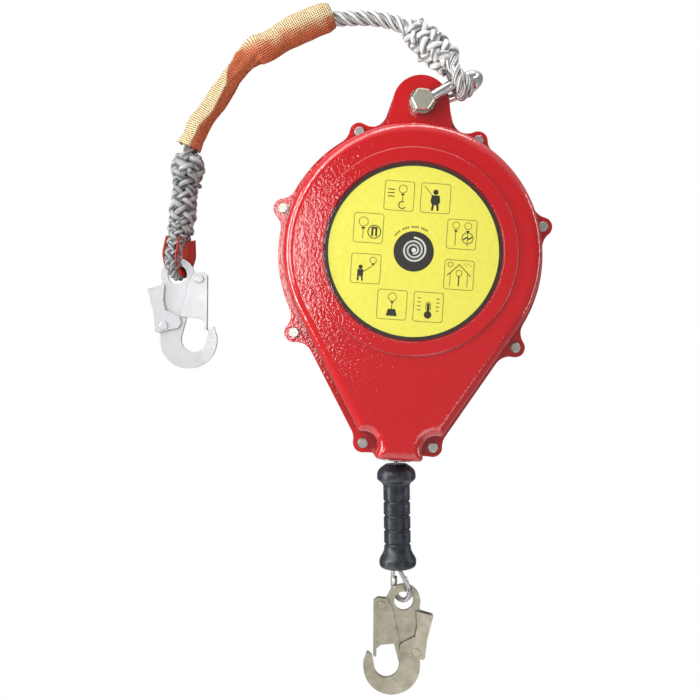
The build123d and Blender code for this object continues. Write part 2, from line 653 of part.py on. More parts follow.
with BuildPart() as grip:
    with BuildSketch(GRIP_PLANE):
        with BuildLine():
            Line((0, -GRIP_START), (GRIP_TOP_R, -GRIP_START))
            Spline((GRIP_TOP_R, -GRIP_START), (GUARD_R, -GUARD_TOP), tangents=((0.8, -0.6), (0, -1)))
            Line((GUARD_R, -GUARD_TOP), (GUARD_R, -GUARD_BOTTOM))
            Spline((GUARD_R, -GUARD_BOTTOM), (GRIP_R, -GRIP_BODY), tangents=((-0.3, -1), (0, -1)))
            Line((GRIP_R, -GRIP_BODY), (GRIP_R, -GRIP_FLARE))
            Spline((GRIP_R, -GRIP_FLARE), (FOOT_R, -FOOT_TOP), tangents=((0, -1), (0.3, -1)))
            Line((FOOT_R, -FOOT_TOP), (FOOT_R, -FOOT_BOTTOM))
            Spline((FOOT_R, -FOOT_BOTTOM), (FOOT_FACE_R, -GRIP_END), tangents=((-0.1, -1), (-1, -0.3)))
            Polyline((FOOT_FACE_R, -GRIP_END), (0, -GRIP_END), (0, -GRIP_START))
        make_face()
        with Locations([(GRIP_R + GROOVE_R / 3, -groove) for groove in GRIP_GROOVES]):
            Circle(GROOVE_R, mode=Mode.SUBTRACT)
        with Locations((0, -FERRULE_START)):
            Rectangle(2 * FERRULE_R + 0.2, 2 * (GRIP_END - FERRULE_START), mode=Mode.SUBTRACT)
        with Locations((0, -GRIP_END)):
            Rectangle(2 * GRIP_MOUTH_R, 2 * GRIP_MOUTH_DEPTH, mode=Mode.SUBTRACT)
        with Locations((0, -GRIP_END / 2)):
            Rectangle(2 * CABLE_R + 0.2, GRIP_END, mode=Mode.SUBTRACT)
    revolve(axis=GRIP_AXIS)
save(grip, "grip")


def grip_rod(radius, start, end):
    """Round bar on the grip's axis, between two distances below the flex point."""
    with BuildSketch(Plane(origin=GRIP_PLANE.origin - GRIP_UP * end, z_dir=GRIP_UP)) as section:
        Circle(radius)
    extrude(section.sketch, amount=end - start)


with BuildPart() as cable_tail:
    grip_rod(CABLE_R, FLEX_GAP, FERRULE_START)
save(cable_tail, "cable_tail")

with BuildPart() as cable_ferrule:
    grip_rod(FERRULE_R, FERRULE_START, FERRULE_END)
    fillet(cable_ferrule.edges(), 1.5)
save(cable_ferrule, "cable_ferrule")


def eye_plane(centre, up, turn):
    """Plane of a rope or cable eye, through its lowest point, turned about its own length."""
    up = Vector(*up).normalized()
    across = Vector(up.Z, 0, -up.X) * cos(turn) + Vector(0, -1, 0) * sin(turn)
    return Plane(origin=centre, x_dir=across, z_dir=across.cross(up))


def eye_path(half, neck, top):
    """Teardrop loop in its plane: straight neck, two shoulders and a round bottom."""
    Spline((-neck, top), (-half, half), tangents=((0, -1), (0, -1)))
    ThreePointArc((-half, half), (0, 0), (half, half))
    Spline((half, half), (neck, top), tangents=((0, 1), (0, 1)))


HARNESS_POINT = Vector(HARNESS_EYE[0], -PARTING, HARNESS_EYE[1])
GRIP_FOOT = GRIP_PLANE.origin - GRIP_UP * GRIP_END
CABLE_EYE_PLANE = eye_plane(HARNESS_POINT, GRIP_FOOT - HARNESS_POINT, EYE_TURN)
CABLE_EYE_TOP = (GRIP_FOOT - HARNESS_POINT).length + GRIP_END - FERRULE_END + EYE_TOP_COVER

with BuildPart() as cable_eye:
    with BuildLine(CABLE_EYE_PLANE) as cable_loop:
        eye_path(EYE_HALF, CABLE_R + 0.3, CABLE_EYE_TOP)
    tube(cable_loop.line, CABLE_R)
save(cable_eye, "cable_eye")


def thimble(plane, half, neck, top, inner, outer):
    """Channel that lines the inside of an eye, round its bottom and part of the way up its sides."""
    with BuildLine(plane) as loop:
        eye_path(half, neck, top)
    left, bottom, right = loop.edges()
    path = Wire([left.trim(THIMBLE_SHARE, 1), bottom, right.trim(0, 1 - THIMBLE_SHARE)])
    with BuildSketch(Plane(origin=path @ 0, x_dir=plane.x_dir, z_dir=path % 0)) as section:
        Circle(outer)
        Circle(inner, mode=Mode.SUBTRACT)
        with Locations((-outer / 3, 0)):
            Rectangle(3 * outer, 3 * outer, align=(Align.MAX, Align.CENTER), mode=Mode.SUBTRACT)
    sweep(section.sketch, path=path)


with BuildPart() as cable_thimble:
    thimble(CABLE_EYE_PLANE, EYE_HALF, CABLE_R + 0.3, CABLE_EYE_TOP, CABLE_R + 0.1, CABLE_R + 1.2)
save(cable_thimble, "cable_thimble")

# =====================================================================================
# Shackle
# =====================================================================================
ALONG = Vector(cos(SHACKLE_RISE), 0, sin(SHACKLE_RISE))  # from the pin towards the bow
ACROSS = Vector(-sin(SHACKLE_RISE), 0, cos(SHACKLE_RISE))
PIN_CENTRE = Vector(0, -PARTING, LUG_Z)


def shackle_point(reach, side):
    """Centre of a leg this far from the pin, on the front (side 1) or rear (side -1) leg."""
    lean = BOW_TURN * min(1, reach / SHACKLE_STRAIGHT)
    return PIN_CENTRE + ALONG * reach + ACROSS * (side * lean) + Vector(0, -side * SHACKLE_LEG, 0)


with BuildPart() as shackle:
    with BuildLine() as bow:
        front_foot = shackle_point(0, 1)
        front_top = shackle_point(SHACKLE_STRAIGHT, 1)
        rear_foot = shackle_point(0, -1)
        rear_top = shackle_point(SHACKLE_STRAIGHT, -1)
        Spline(front_foot, front_top, tangents=(ALONG, ALONG))
        ThreePointArc(front_top, PIN_CENTRE + ALONG * SHACKLE_REACH, rear_top)
        Spline(rear_top, rear_foot, tangents=(-ALONG, -ALONG))
    tube(bow.line, SHACKLE_BAR_R)
    rods([LUG_CENTRE], SHACKLE_EAR_R, EAR_FRONT, EAR_FRONT + SHACKLE_EAR_T)
    rods([LUG_CENTRE], SHACKLE_EAR_R, EAR_REAR - SHACKLE_EAR_T, EAR_REAR)
    rods([LUG_CENTRE], PIN_R + RUNNING, PARTING - 40, PARTING + 40, mode=Mode.SUBTRACT)
    rods([LUG_CENTRE], LUG_R, EAR_REAR, EAR_FRONT, mode=Mode.SUBTRACT)
save(shackle, "shackle")


# =====================================================================================
# Rope sling
# =====================================================================================
def in_plane(point, depth=PARTING):
    """Space point over an (x, z) place, at this depth."""
    return Vector(point[0], -depth, point[1])


def ball(centre, radius):
    """Rounded end of a soft piece."""
    with Locations(centre):
        Sphere(radius)


def toward(start, end, distance):
    """Point this far from start on the way to end."""
    return start + (end - start).normalized() * distance


SLING_EYE = shackle_point(SLING_EYE_REACH, 1)
UPPER_HINGE = in_plane(BEND_UPPER)
MIDDLE_HINGE = in_plane(BEND_MIDDLE)
LOWER_HINGE = in_plane(BEND_LOWER)
HEAD_END = toward(UPPER_HINGE, in_plane(HEAD_LINE[1]), ROPE_R + BEND_GAP / 2)
SPLICE_START = SLING_EYE + ACROSS * 24
SPLICE_POINTS = [in_plane(place, PARTING + forward) for place, forward in zip(SPLICE_LINE, SPLICE_FORWARD)]
SPLICE_END = SPLICE_POINTS[-1]

# The upper eye passes round the shackle's front leg, and its two ropes join in a long splice.
with BuildPart() as sling_head:
    with BuildLine() as eye_loop:
        front_side = SLING_EYE + Vector(0, -SLING_EYE_HALF, 0)
        rear_side = SLING_EYE + Vector(0, SLING_EYE_HALF, 0)
        Line(front_side + ACROSS * 20, front_side - ACROSS * 1.5)
        ThreePointArc(front_side - ACROSS * 1.5, SLING_EYE - ACROSS * (SLING_EYE_HALF + 1.5),
                      rear_side - ACROSS * 1.5)
        Line(rear_side - ACROSS * 1.5, rear_side + ACROSS * 20)
    tube(eye_loop.line, EYE_ROPE_R)
    with BuildLine() as splice_path:
        Spline(SPLICE_START, *SPLICE_POINTS)
    tube(splice_path.line, SPLICE_R)
    ball(SPLICE_START, SPLICE_R - 1.5)
    ball(SPLICE_END, SPLICE_R)
    with BuildLine() as rope_path:
        Spline(SPLICE_END, in_plane(HEAD_LINE[0], PARTING + 1), HEAD_END)
    tube(rope_path.line, ROPE_R)
    ball(HEAD_END, ROPE_R)
save(sling_head, "sling_head")

SHOULDER_PLACES = [in_plane(place) for place in SHOULDER_LINE]
SHOULDER_START = toward(UPPER_HINGE, SHOULDER_PLACES[0], ROPE_R + BEND_GAP / 2)
SLEEVE_START = SHOULDER_PLACES[2]
SHOULDER_BEND = toward(MIDDLE_HINGE, SHOULDER_PLACES[-1], SLEEVE_R + BEND_GAP / 2)
SHOULDER_ROPE_END = toward(MIDDLE_HINGE, SHOULDER_PLACES[-1], ROPE_R + BEND_GAP / 2)
SHOULDER_POINTS = [*SHOULDER_PLACES[2:5], SHOULDER_ROPE_END]

with BuildPart() as sling_rope_upper:
    with BuildLine() as shoulder_path:
        Spline(SHOULDER_START, SHOULDER_PLACES[1], *SHOULDER_POINTS)
    tube(shoulder_path.line, ROPE_R)
    ball(SHOULDER_START, ROPE_R)
    ball(SHOULDER_ROPE_END, ROPE_R)
save(sling_rope_upper, "sling_rope_upper")

with BuildPart() as sleeve_upper:
    with BuildLine() as sleeve_path:
        Spline(*SHOULDER_POINTS[:-1], SHOULDER_BEND)
    tube(sleeve_path.line, SLEEVE_R)
    ball(SHOULDER_BEND, SLEEVE_R)
    tube(shoulder_path.line, ROPE_R + SLEEVE_PLAY, mode=Mode.SUBTRACT)
    with Locations(SHOULDER_ROPE_END):
        Sphere(ROPE_R + SLEEVE_PLAY, mode=Mode.SUBTRACT)
save(sleeve_upper, "sleeve_upper")

ARM_PLACES = [in_plane(place) for place in ARM_LINE]
ARM_BEND = toward(MIDDLE_HINGE, ARM_PLACES[0], SLEEVE_R + BEND_GAP / 2)
ARM_ROPE_START = toward(MIDDLE_HINGE, ARM_PLACES[0], ROPE_R + BEND_GAP / 2)
ARM_END = toward(LOWER_HINGE, ARM_PLACES[-1], CUFF_R + BEND_GAP / 2)
ARM_ROPE_END = toward(LOWER_HINGE, ARM_PLACES[-1], ROPE_R + BEND_GAP / 2)
ARM_POINTS = ARM_PLACES[1:3]

with BuildPart() as sling_rope_lower:
    with BuildLine() as arm_path:
        Spline(ARM_ROPE_START, *ARM_POINTS, ARM_ROPE_END)
    tube(arm_path.line, ROPE_R)
    ball(ARM_ROPE_START, ROPE_R)
    ball(ARM_ROPE_END, ROPE_R)
save(sling_rope_lower, "sling_rope_lower")

with BuildPart() as sleeve_lower:
    with BuildLine() as cuff_path:
        Spline(ARM_BEND, *ARM_POINTS, ARM_END)
    tube(cuff_path.line, CUFF_R)
    ball(ARM_BEND, SLEEVE_R)
    ball(ARM_END, CUFF_R)
    tube(arm_path.line, ROPE_R + SLEEVE_PLAY, mode=Mode.SUBTRACT)
    with Locations(ARM_ROPE_START, ARM_ROPE_END):
        Sphere(ROPE_R + SLEEVE_PLAY, mode=Mode.SUBTRACT)
save(sleeve_lower, "sleeve_lower")

ANCHOR_POINT = in_plane(ANCHOR_EYE)
TAIL_PLACES = [in_plane(place) for place in TAIL_LINE]
TAIL_START = toward(LOWER_HINGE, TAIL_PLACES[0], SPLICE_R + BEND_GAP / 2)
TAIL_END = TAIL_PLACES[-1]
ROPE_EYE_PLANE = eye_plane(ANCHOR_POINT, TAIL_END - ANCHOR_POINT, ROPE_EYE_TURN)
ROPE_EYE_TOP = (TAIL_END - ANCHOR_POINT).length

with BuildPart() as sling_tail:
    with BuildLine() as tail_path:
        Spline(TAIL_START, TAIL_PLACES[1], TAIL_END)
    tube(tail_path.line, SPLICE_R)
    ball(TAIL_START, SPLICE_R)
    ball(TAIL_END, SPLICE_R)
    with BuildLine(ROPE_EYE_PLANE) as rope_loop:
        eye_path(ROPE_EYE_HALF, ROPE_EYE_NECK, ROPE_EYE_TOP)
    tube(rope_loop.line, LOOP_ROPE_R)
save(sling_tail, "sling_tail")

with BuildPart() as sling_thimble:
    thimble(ROPE_EYE_PLANE, ROPE_EYE_HALF, ROPE_EYE_NECK, ROPE_EYE_TOP,
            LOOP_ROPE_R + 0.1, LOOP_ROPE_R + 1)
save(sling_thimble, "sling_thimble")


# =====================================================================================
# Snap hooks: one design, used twice
# =====================================================================================
def hook_plane(eye, side):
    """Middle plane of a hook whose mouth opens to the left (side 1) or right (side -1)."""
    x_dir = (side * cos(HOOK_TILT), 0, side * sin(HOOK_TILT))
    return Plane(origin=in_plane(eye), x_dir=x_dir, z_dir=(0, -side, 0))


def hook_layer(plane, points, inner, outer, mode=Mode.ADD):
    """Plate outline, extruded on both sides of the hook's middle plane between two distances."""
    for side in (1, -1):
        with BuildSketch(plane.offset(side * inner)) as profile:
            with BuildLine() as outline:
                Polyline(*points, close=True)
            make_face(outline.edges())
        extrude(profile.sketch, amount=side * (outer - inner), mode=mode)


def hook_holes(plane, places, radius):
    """Cross holes through a whole hook."""
    with BuildSketch(plane) as profile:
        with Locations(places):
            Circle(radius)
    extrude(profile.sketch, amount=2 * HOOK_T, both=True, mode=Mode.SUBTRACT)


def hook_frame(plane):
    """Forged plate with the eye, the shank, the bowl and the ear that carries the gate."""
    with BuildSketch(plane) as profile:
        with BuildLine() as outline:
            Polyline((19.5, -8), (20, -78))
            ThreePointArc((20, -78), (-14, -112), (-47.6, -73))
            Polyline((-47.6, -73), (-43.3, -60), (-37.5, -65.3), (-35, -77))
            ThreePointArc((-35, -77), (-20, -92), BOWL_END)
            Polyline(BOWL_END, (-10.7, -54.6), (-13, -22), (-28, -12), (-20, 5), (19.5, -8))
        make_face(outline.edges())
        Circle(HOOK_RING_R)
        with Locations(GATE_PIVOT):
            Circle(GATE_EAR_R)
        for change in (-HOOK_CORNER_R, 2 * HOOK_CORNER_R, -HOOK_CORNER_R):
            offset(amount=change, kind=Kind.ARC)
        Circle(HOOK_EYE_R, mode=Mode.SUBTRACT)
        with Locations(GATE_PIVOT, LEVER_PIVOT):
            Circle(RIVET_R, mode=Mode.SUBTRACT)
    extrude(profile.sketch, amount=HOOK_T / 2, both=True)
    spring_room(plane)


def spring_room(plane):
    """Recesses for the gate springs, on both sides of the gate's ear."""
    for side in (1, -1):
        with BuildSketch(plane.offset(side * SPRING_SEAT)) as recess:
            with Locations(GATE_PIVOT):
                Circle(GATE_EAR_R - 1)
        extrude(recess.sketch, amount=side * HOOK_T, mode=Mode.SUBTRACT)


def hook_gate(plane):
    """Folded sheet gate: a web across the mouth and a cheek on each side of the frame."""
    inner = HOOK_T / 2 + HOOK_PLAY
    outer = inner + SHEET_T
    hook_layer(plane, GATE_WEB, 0, outer)
    hook_layer(plane, GATE_CHEEK, inner, outer)
    hook_holes(plane, [GATE_PIVOT], RIVET_R + RUNNING)


def hook_lever(plane):
    """Folded sheet lock lever, outside the gate's cheeks, with its web along the shank."""
    inner = HOOK_T / 2 + 2 * HOOK_PLAY + SHEET_T
    outer = inner + SHEET_T
    hook_layer(plane, LEVER_WEB, 0, outer)
    hook_layer(plane, LEVER_CHEEK, inner, outer)
    hook_holes(plane, [LEVER_PIVOT], RIVET_R + RUNNING)


def hook_rivets(plane):
    """Gate rivet and lever rivet, each with a head on both sides."""
    for place, layers in ((GATE_PIVOT, 1), (LEVER_PIVOT, 2)):
        reach = HOOK_T / 2 + layers * (HOOK_PLAY + SHEET_T) + HOOK_PLAY
        for side in (1, -1):
            with BuildSketch(plane) as shank:
                with Locations(place):
                    Circle(RIVET_R)
            extrude(shank.sketch, amount=side * reach)
            with BuildSketch(plane.offset(side * reach)) as rivet_head:
                with Locations(place):
                    Circle(RIVET_R + 2)
            extrude(rivet_head.sketch, amount=side * RIVET_HEAD_T, taper=20)


def hook_springs(plane):
    """Torsion coils that close the gate, one in each recess of the ear."""
    pivot = plane.from_local_coords(GATE_PIVOT)
    for side in (1, -1):
        outward = plane.z_dir * side
        start = pivot + outward * (SPRING_SEAT + SPRING_WIRE_R + 0.05)
        wire_coil(start, outward, RIVET_R + SPRING_WIRE_R + 0.2, SPRING_ROOM, SPRING_WIRE_R)


HARNESS_PLANE = hook_plane(HARNESS_EYE, 1)
ANCHOR_PLANE = hook_plane(ANCHOR_EYE, -1)

for hook_name, hook_place in (("harness_hook", HARNESS_PLANE), ("anchor_hook", ANCHOR_PLANE)):
    with BuildPart() as frame_plate:
        hook_frame(hook_place)
    save(frame_plate, f"{hook_name}_frame")
    with BuildPart() as gate:
        hook_gate(hook_place)
    save(gate, f"{hook_name}_gate")
    with BuildPart() as lever:
        hook_lever(hook_place)
    save(lever, f"{hook_name}_lever")
    with BuildPart() as rivets:
        hook_rivets(hook_place)
    save(rivets, f"{hook_name}_rivets")
    with BuildPart() as springs:
        hook_springs(hook_place)
    save(springs, f"{hook_name}_springs")
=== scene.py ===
"""Looks of the self retracting lifeline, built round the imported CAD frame. Metres, +Z up, front faces -Y."""
import json
import math

import bmesh
import bpy
from mathutils import Matrix, Vector, noise


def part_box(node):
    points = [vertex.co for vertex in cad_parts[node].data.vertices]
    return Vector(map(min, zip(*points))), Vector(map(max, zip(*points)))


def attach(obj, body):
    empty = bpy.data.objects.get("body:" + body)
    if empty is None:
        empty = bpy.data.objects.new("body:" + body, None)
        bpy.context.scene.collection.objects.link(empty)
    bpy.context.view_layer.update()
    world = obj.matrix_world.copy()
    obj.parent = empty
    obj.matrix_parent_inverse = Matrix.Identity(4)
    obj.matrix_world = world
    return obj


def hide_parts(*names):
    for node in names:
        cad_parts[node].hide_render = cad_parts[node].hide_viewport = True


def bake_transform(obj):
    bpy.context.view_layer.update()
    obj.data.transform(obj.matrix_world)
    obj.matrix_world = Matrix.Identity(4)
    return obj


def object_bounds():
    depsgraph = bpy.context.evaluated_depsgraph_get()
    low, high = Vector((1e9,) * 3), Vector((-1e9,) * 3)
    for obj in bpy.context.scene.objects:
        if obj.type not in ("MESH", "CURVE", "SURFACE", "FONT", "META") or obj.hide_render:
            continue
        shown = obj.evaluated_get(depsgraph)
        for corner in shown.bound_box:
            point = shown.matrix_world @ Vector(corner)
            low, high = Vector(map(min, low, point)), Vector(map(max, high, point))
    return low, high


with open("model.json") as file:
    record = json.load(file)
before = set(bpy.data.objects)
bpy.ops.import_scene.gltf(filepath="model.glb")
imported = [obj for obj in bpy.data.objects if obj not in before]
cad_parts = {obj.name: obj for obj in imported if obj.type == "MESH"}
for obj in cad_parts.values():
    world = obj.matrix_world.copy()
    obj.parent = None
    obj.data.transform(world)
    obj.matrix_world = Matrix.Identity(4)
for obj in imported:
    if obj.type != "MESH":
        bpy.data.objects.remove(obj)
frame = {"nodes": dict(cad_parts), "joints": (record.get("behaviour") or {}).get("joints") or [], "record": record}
cad_box = [list(corner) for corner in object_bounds()]
NODES = frame["nodes"]
JOINT = {joint["name"]: joint for joint in frame["joints"]}
MM = 0.001


def joint_at(name):
    """Where a joint's axis passes, in the part's frame."""
    return Vector(JOINT[name]["pos_m"])


MID_Y = joint_at("grip_swing").y  # the suspension plane
PLATE_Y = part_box("nameplate")[0].y  # the nameplate's face

# ---- Material helpers ----


def set_stops(elements, stops):
    """Fills a colour ramp with (position, colour) stops."""
    while len(elements) < len(stops):
        elements.new(0.5)
    for element, (position, colour) in zip(elements, stops):
        element.position = position
        element.color = (*colour, 1)


def set_inputs(node, values):
    """Plain values on a node's inputs; underscores in their names stand for spaces."""
    for key, value in values.items():
        node.inputs[key.replace("_", " ")].default_value = value


class Shader:
    """One node material: a Principled shader with short calls for the textures that feed it."""

    def __init__(self, name):
        self.material = bpy.data.materials.new(name)
        self.material.use_nodes = True
        self.nodes = self.material.node_tree.nodes
        self.links = self.material.node_tree.links
        self.surface = self.nodes["Principled BSDF"]
        self.coords = self.make("TexCoord").outputs["Object"]

    def make(self, kind, **values):
        """New node of a kind, with plain values on its inputs."""
        node = self.nodes.new("ShaderNode" + kind)
        set_inputs(node, values)
        return node

    def set(self, **values):
        """Plain values on the Principled shader."""
        set_inputs(self.surface, values)

    def feed(self, socket, output):
        self.links.new(output, self.surface.inputs[socket])

    def plug(self, socket, value):
        """Gives an input a number, a colour or another node's output."""
        if isinstance(value, (int, float)):
            socket.default_value = value
        elif isinstance(value, tuple):
            socket.default_value = (*value, 1)
        else:
            self.links.new(value, socket)

    def uv(self):
        return self.make("UVMap").outputs["UV"]

    def attribute(self, name):
        """A number stored on the mesh."""
        node = self.make("Attribute")
        node.attribute_name = name
        return node.outputs["Fac"]

    def scaled(self, scale, coords=None):
        """Coordinates stretched by a factor on each axis."""
        node = self.make("Mapping", Scale=scale)
        self.links.new(coords or self.coords, node.inputs["Vector"])
        return node.outputs["Vector"]

    def noise(self, scale, detail=4.0, rough=0.55, coords=None):
        node = self.make("TexNoise", Scale=scale, Detail=detail, Roughness=rough)
        self.links.new(coords or self.coords, node.inputs["Vector"])
        return node.outputs["Fac"]

    def ramp(self, value, *stops):
        """Colour ramp through (position, colour) stops."""
        node = self.make("ValToRGB")
        set_stops(node.color_ramp.elements, stops)
        self.links.new(value, node.inputs["Fac"])
        return node.outputs["Color"]

    def span(self, value, low, high, from_low=0.0, from_high=1.0):
        """The value mapped to run from low to high."""
        node = self.make("MapRange", From_Min=from_low, From_Max=from_high, To_Min=low, To_Max=high)
        self.links.new(value, node.inputs["Value"])
        return node.outputs["Result"]

    def math(self, operation, first, second=0.0):
        node = self.make("Math")
        node.operation = operation
        self.plug(node.inputs[0], first)
        self.plug(node.inputs[1], second)
        return node.outputs["Value"]

    def blend(self, share, first, second):
        """Mix of two colours, each a socket or a plain colour."""
        node = self.make("Mix")
        node.data_type = "RGBA"
        for number, value in ((0, share), (6, first), (7, second)):
            self.plug(node.inputs[number], value)
        return node.outputs[2]

    def bump(self, height, distance, strength, normal=None):
        node = self.make("Bump", Distance=distance, Strength=strength)
        self.links.new(height, node.inputs["Height"])
        if normal is not None:
            self.links.new(normal, node.inputs["Normal"])
        return node.outputs["Normal"]

    def painted_crevice_shade(self, colour, reach, dark, strength=1.0):
        """Painted shade: the colour turned dark where surfaces crowd together within reach, found by ambient
        occlusion.
        """
        node = self.make("AmbientOcclusion", Distance=reach)
        node.samples = 6
        unshaded_share = self.span(node.outputs["AO"], 1 - strength, 1.0, 0.25, 0.85)
        return self.blend(unshaded_share, dark, colour)

    def soft_edges(self, radius):
        """Surface normal as if every edge were eased by the radius."""
        node = self.make("Bevel", Radius=radius)
        node.samples = 4
        return node.outputs["Normal"]


EDGE_EASE = 0.6 * MM  # how far edges look rounded off
COAT_EASE = 1.2 * MM  # the same where enamel has flowed over them
TURN = 2 * math.pi


def enamel(name, colour, deep):
    """Gloss enamel with the soft ripple of paint over a casting."""
    s = Shader(name)
    patches = s.noise(9.0, detail=3.0)
    body = s.blend(patches, colour, deep)
    # Painted shade: the red turns dark in recesses and between parts.
    s.feed("Base Color", s.painted_crevice_shade(body, reach=12 * MM, dark=(0.10, 0.002, 0.004), strength=0.8))
    s.feed("Roughness", s.span(s.noise(60.0, detail=5.0), 0.26, 0.42))
    s.set(Coat_Weight=1.0, Coat_Roughness=0.03, Coat_IOR=1.85, Specular_IOR_Level=0.05)
    waves = s.noise(300.0, detail=1.0, rough=0.5)
    ripple = s.bump(waves, distance=0.6 * MM, strength=0.45, normal=s.soft_edges(COAT_EASE))
    normal = s.bump(s.noise(1500.0, detail=3.0), distance=0.2 * MM, strength=0.2, normal=ripple)
    s.feed("Normal", normal)
    s.feed("Coat Normal", normal)
    return s.material


def metal(name, colour, dark, rough, grain=(60.0, 60.0, 900.0), scratch=0.35, solid=1.0):
    """Plated or machined metal: streaky roughness from low to high, fine scratches and darker patches."""
    s = Shader(name)
    streaks = s.noise(1.0, detail=6.0, rough=0.6, coords=s.scaled(grain))
    patches = s.noise(55.0, detail=6.0, rough=0.65)
    body = s.blend(s.span(patches, 0.0, 1.0, from_low=0.35, from_high=0.75), colour, dark)
    # Painted shade: the metal turns dark in recesses and between parts.
    s.feed("Base Color", s.painted_crevice_shade(body, reach=4 * MM, dark=tuple(0.12 * v for v in dark), strength=0.9))
    s.feed("Roughness", s.span(s.math("ADD", streaks, patches), *rough, from_low=0.6, from_high=1.4))
    s.set(Metallic=solid)
    scratches = s.math("ADD", streaks, s.noise(800.0))
    scratched = s.bump(scratches, distance=0.12 * MM, strength=scratch, normal=s.soft_edges(EDGE_EASE))
    s.feed("Normal", s.bump(s.noise(70.0, detail=3.0), distance=1.2 * MM, strength=0.12, normal=scratched))
    return s.material


def plastic(name, colour, worn, rough, grain_scale=1800.0, grain=0.25):
    """Moulded plastic or rubber with a fine grain and scuffed, paler patches."""
    s = Shader(name)
    scuffs = s.span(s.noise(45.0, detail=8.0, rough=0.7), 0.0, 1.0, from_low=0.5, from_high=0.78)
    body = s.blend(scuffs, colour, worn)
    # Painted shade: the plastic turns dark in recesses and between parts.
    s.feed("Base Color", s.painted_crevice_shade(body, reach=3 * MM, dark=tuple(0.2 * v for v in colour), strength=0.8))
    s.feed("Roughness", s.span(s.noise(120.0, detail=5.0), rough - 0.08, rough + 0.12))
    pebbles = s.noise(grain_scale)
    s.feed("Normal", s.bump(pebbles, distance=0.4 * MM, strength=grain, normal=s.soft_edges(EDGE_EASE)))
    return s.material


def rope_fibre(name, pale, mid, dark, reach):
    """Laid synthetic fibre with fine streaks along it. It carries painted shade between the yarns, which the mesh
    attribute
    'ridge' marks, and within reach of its neighbours."""
    s = Shader(name)
    fibres = s.noise(1.0, detail=6.0, rough=0.75, coords=s.scaled((60.0, 5.0, 1.0), s.uv()))
    dirt = s.noise(110.0, detail=6.0, rough=0.65)
    fresh = s.ramp(fibres, (0.30, dark), (0.48, mid), (0.62, pale))
    grey = s.blend(s.span(dirt, 0.0, 0.5, from_low=0.48, from_high=0.72), fresh, dark)
    # Painted shade in the grooves between yarns, where 'ridge' is low.
    yarns = s.span(s.attribute("ridge"), 0.15, 1.0, from_low=0.12, from_high=0.6)
    yarn_shaded_grey = s.blend(yarns, tuple(0.5 * v for v in dark), grey)
    # Painted shade where neighbouring strands crowd together.
    s.feed("Base Color", s.painted_crevice_shade(yarn_shaded_grey, reach, dark=(0.004, 0.004, 0.005)))
    s.set(Roughness=0.55, Sheen_Weight=0.3, Sheen_Roughness=0.4)
    s.feed("Normal", s.bump(fibres, distance=1.0 * MM, strength=0.8))
    return s.material


def woven(name, lit_tones, shaded_tones):
    """Coarse woven net, one UV unit to a thread. Each pair is thread and hole colour, the first pair painted lit
    and the second painted shaded, with painted shade in the holes. The mesh attribute 'lit' says how far each
    place is painted as lit."""
    s = Shader(name)
    split = s.make("SeparateXYZ")
    s.links.new(s.uv(), split.inputs["Vector"])
    warp, weft = (s.math("COSINE", s.math("MULTIPLY", split.outputs[axis], TURN)) for axis in "XY")
    mottle = s.math("MULTIPLY", s.math("SUBTRACT", s.noise(52.0, rough=0.6), 0.5), 1.3)
    # Painted light: share of the lit colours, from the 'lit' attribute with a random mottle.
    share = s.span(s.math("ADD", s.attribute("lit"), mottle), 0.0, 1.0, from_low=0.2, from_high=0.8)
    threads = s.math("MAXIMUM", warp, s.math("MULTIPLY", weft, s.span(share, 0.35, 1.0)))
    solid = s.span(threads, 0.0, 1.0, from_low=-0.1, from_high=0.72)
    # Painted light and shade on threads and holes; the dark hole colours are painted shade.
    thread = s.blend(share, shaded_tones[0], lit_tones[0])
    hole = s.blend(share, shaded_tones[1], lit_tones[1])
    net = s.blend(solid, hole, thread)
    # Painted shade where the net crowds against itself and the rope.
    s.feed("Base Color", s.painted_crevice_shade(net, reach=3 * MM, dark=shaded_tones[1], strength=0.6))
    s.set(Roughness=0.7, Sheen_Weight=0.05, Sheen_Roughness=0.4)
    s.feed("Normal", s.bump(threads, distance=0.7 * MM, strength=0.8))
    return s.material


def printed(name, colour, tint, rough):
    """Printed plastic film: faint mottle in the ink and a soft gloss."""
    s = Shader(name)
    mottle = s.span(s.noise(220.0, detail=5.0), 0.0, 1.0, from_low=0.35, from_high=0.7)
    s.feed("Base Color", s.blend(mottle, colour, tint))
    s.feed("Roughness", s.span(s.noise(35.0), rough - 0.06, rough + 0.08))
    s.feed("Normal", s.bump(s.noise(500.0, detail=3.0), distance=0.2 * MM, strength=0.12))
    return s.material


RED = enamel("red_enamel", (0.58, 0.005, 0.009), deep=(0.51, 0.003, 0.006))
YELLOW = printed("plate_yellow", (0.82, 0.775, 0.105), tint=(0.77, 0.72, 0.09), rough=0.45)
INK = printed("plate_ink", (0.022, 0.020, 0.016), tint=(0.04, 0.036, 0.03), rough=0.4)
INK_WHITE = printed("plate_white", (0.85, 0.85, 0.8), tint=(0.75, 0.75, 0.7), rough=0.4)
ZINC = metal("zinc_steel", (0.80, 0.79, 0.75), (0.60, 0.59, 0.54), (0.2, 0.4), grain=(500.0, 500.0, 500.0))
BOLT = metal("bolt_steel", (0.88, 0.84, 0.71), (0.68, 0.65, 0.53), (0.24, 0.42), grain=(350.0, 350.0, 350.0))
SHACKLE = metal("shackle_steel", (0.90, 0.90, 0.90), (0.72, 0.72, 0.72), (0.10, 0.24),
                grain=(250.0, 900.0, 250.0), scratch=0.2)
BRONZE = metal("bronze", (0.55, 0.36, 0.16), (0.38, 0.24, 0.10), (0.3, 0.5))
MACHINED = metal("machined_steel", (0.50, 0.50, 0.51), (0.36, 0.36, 0.37), (0.25, 0.42))
ALLOY = metal("drum_alloy", (0.62, 0.62, 0.63), (0.5, 0.5, 0.5), (0.35, 0.55))
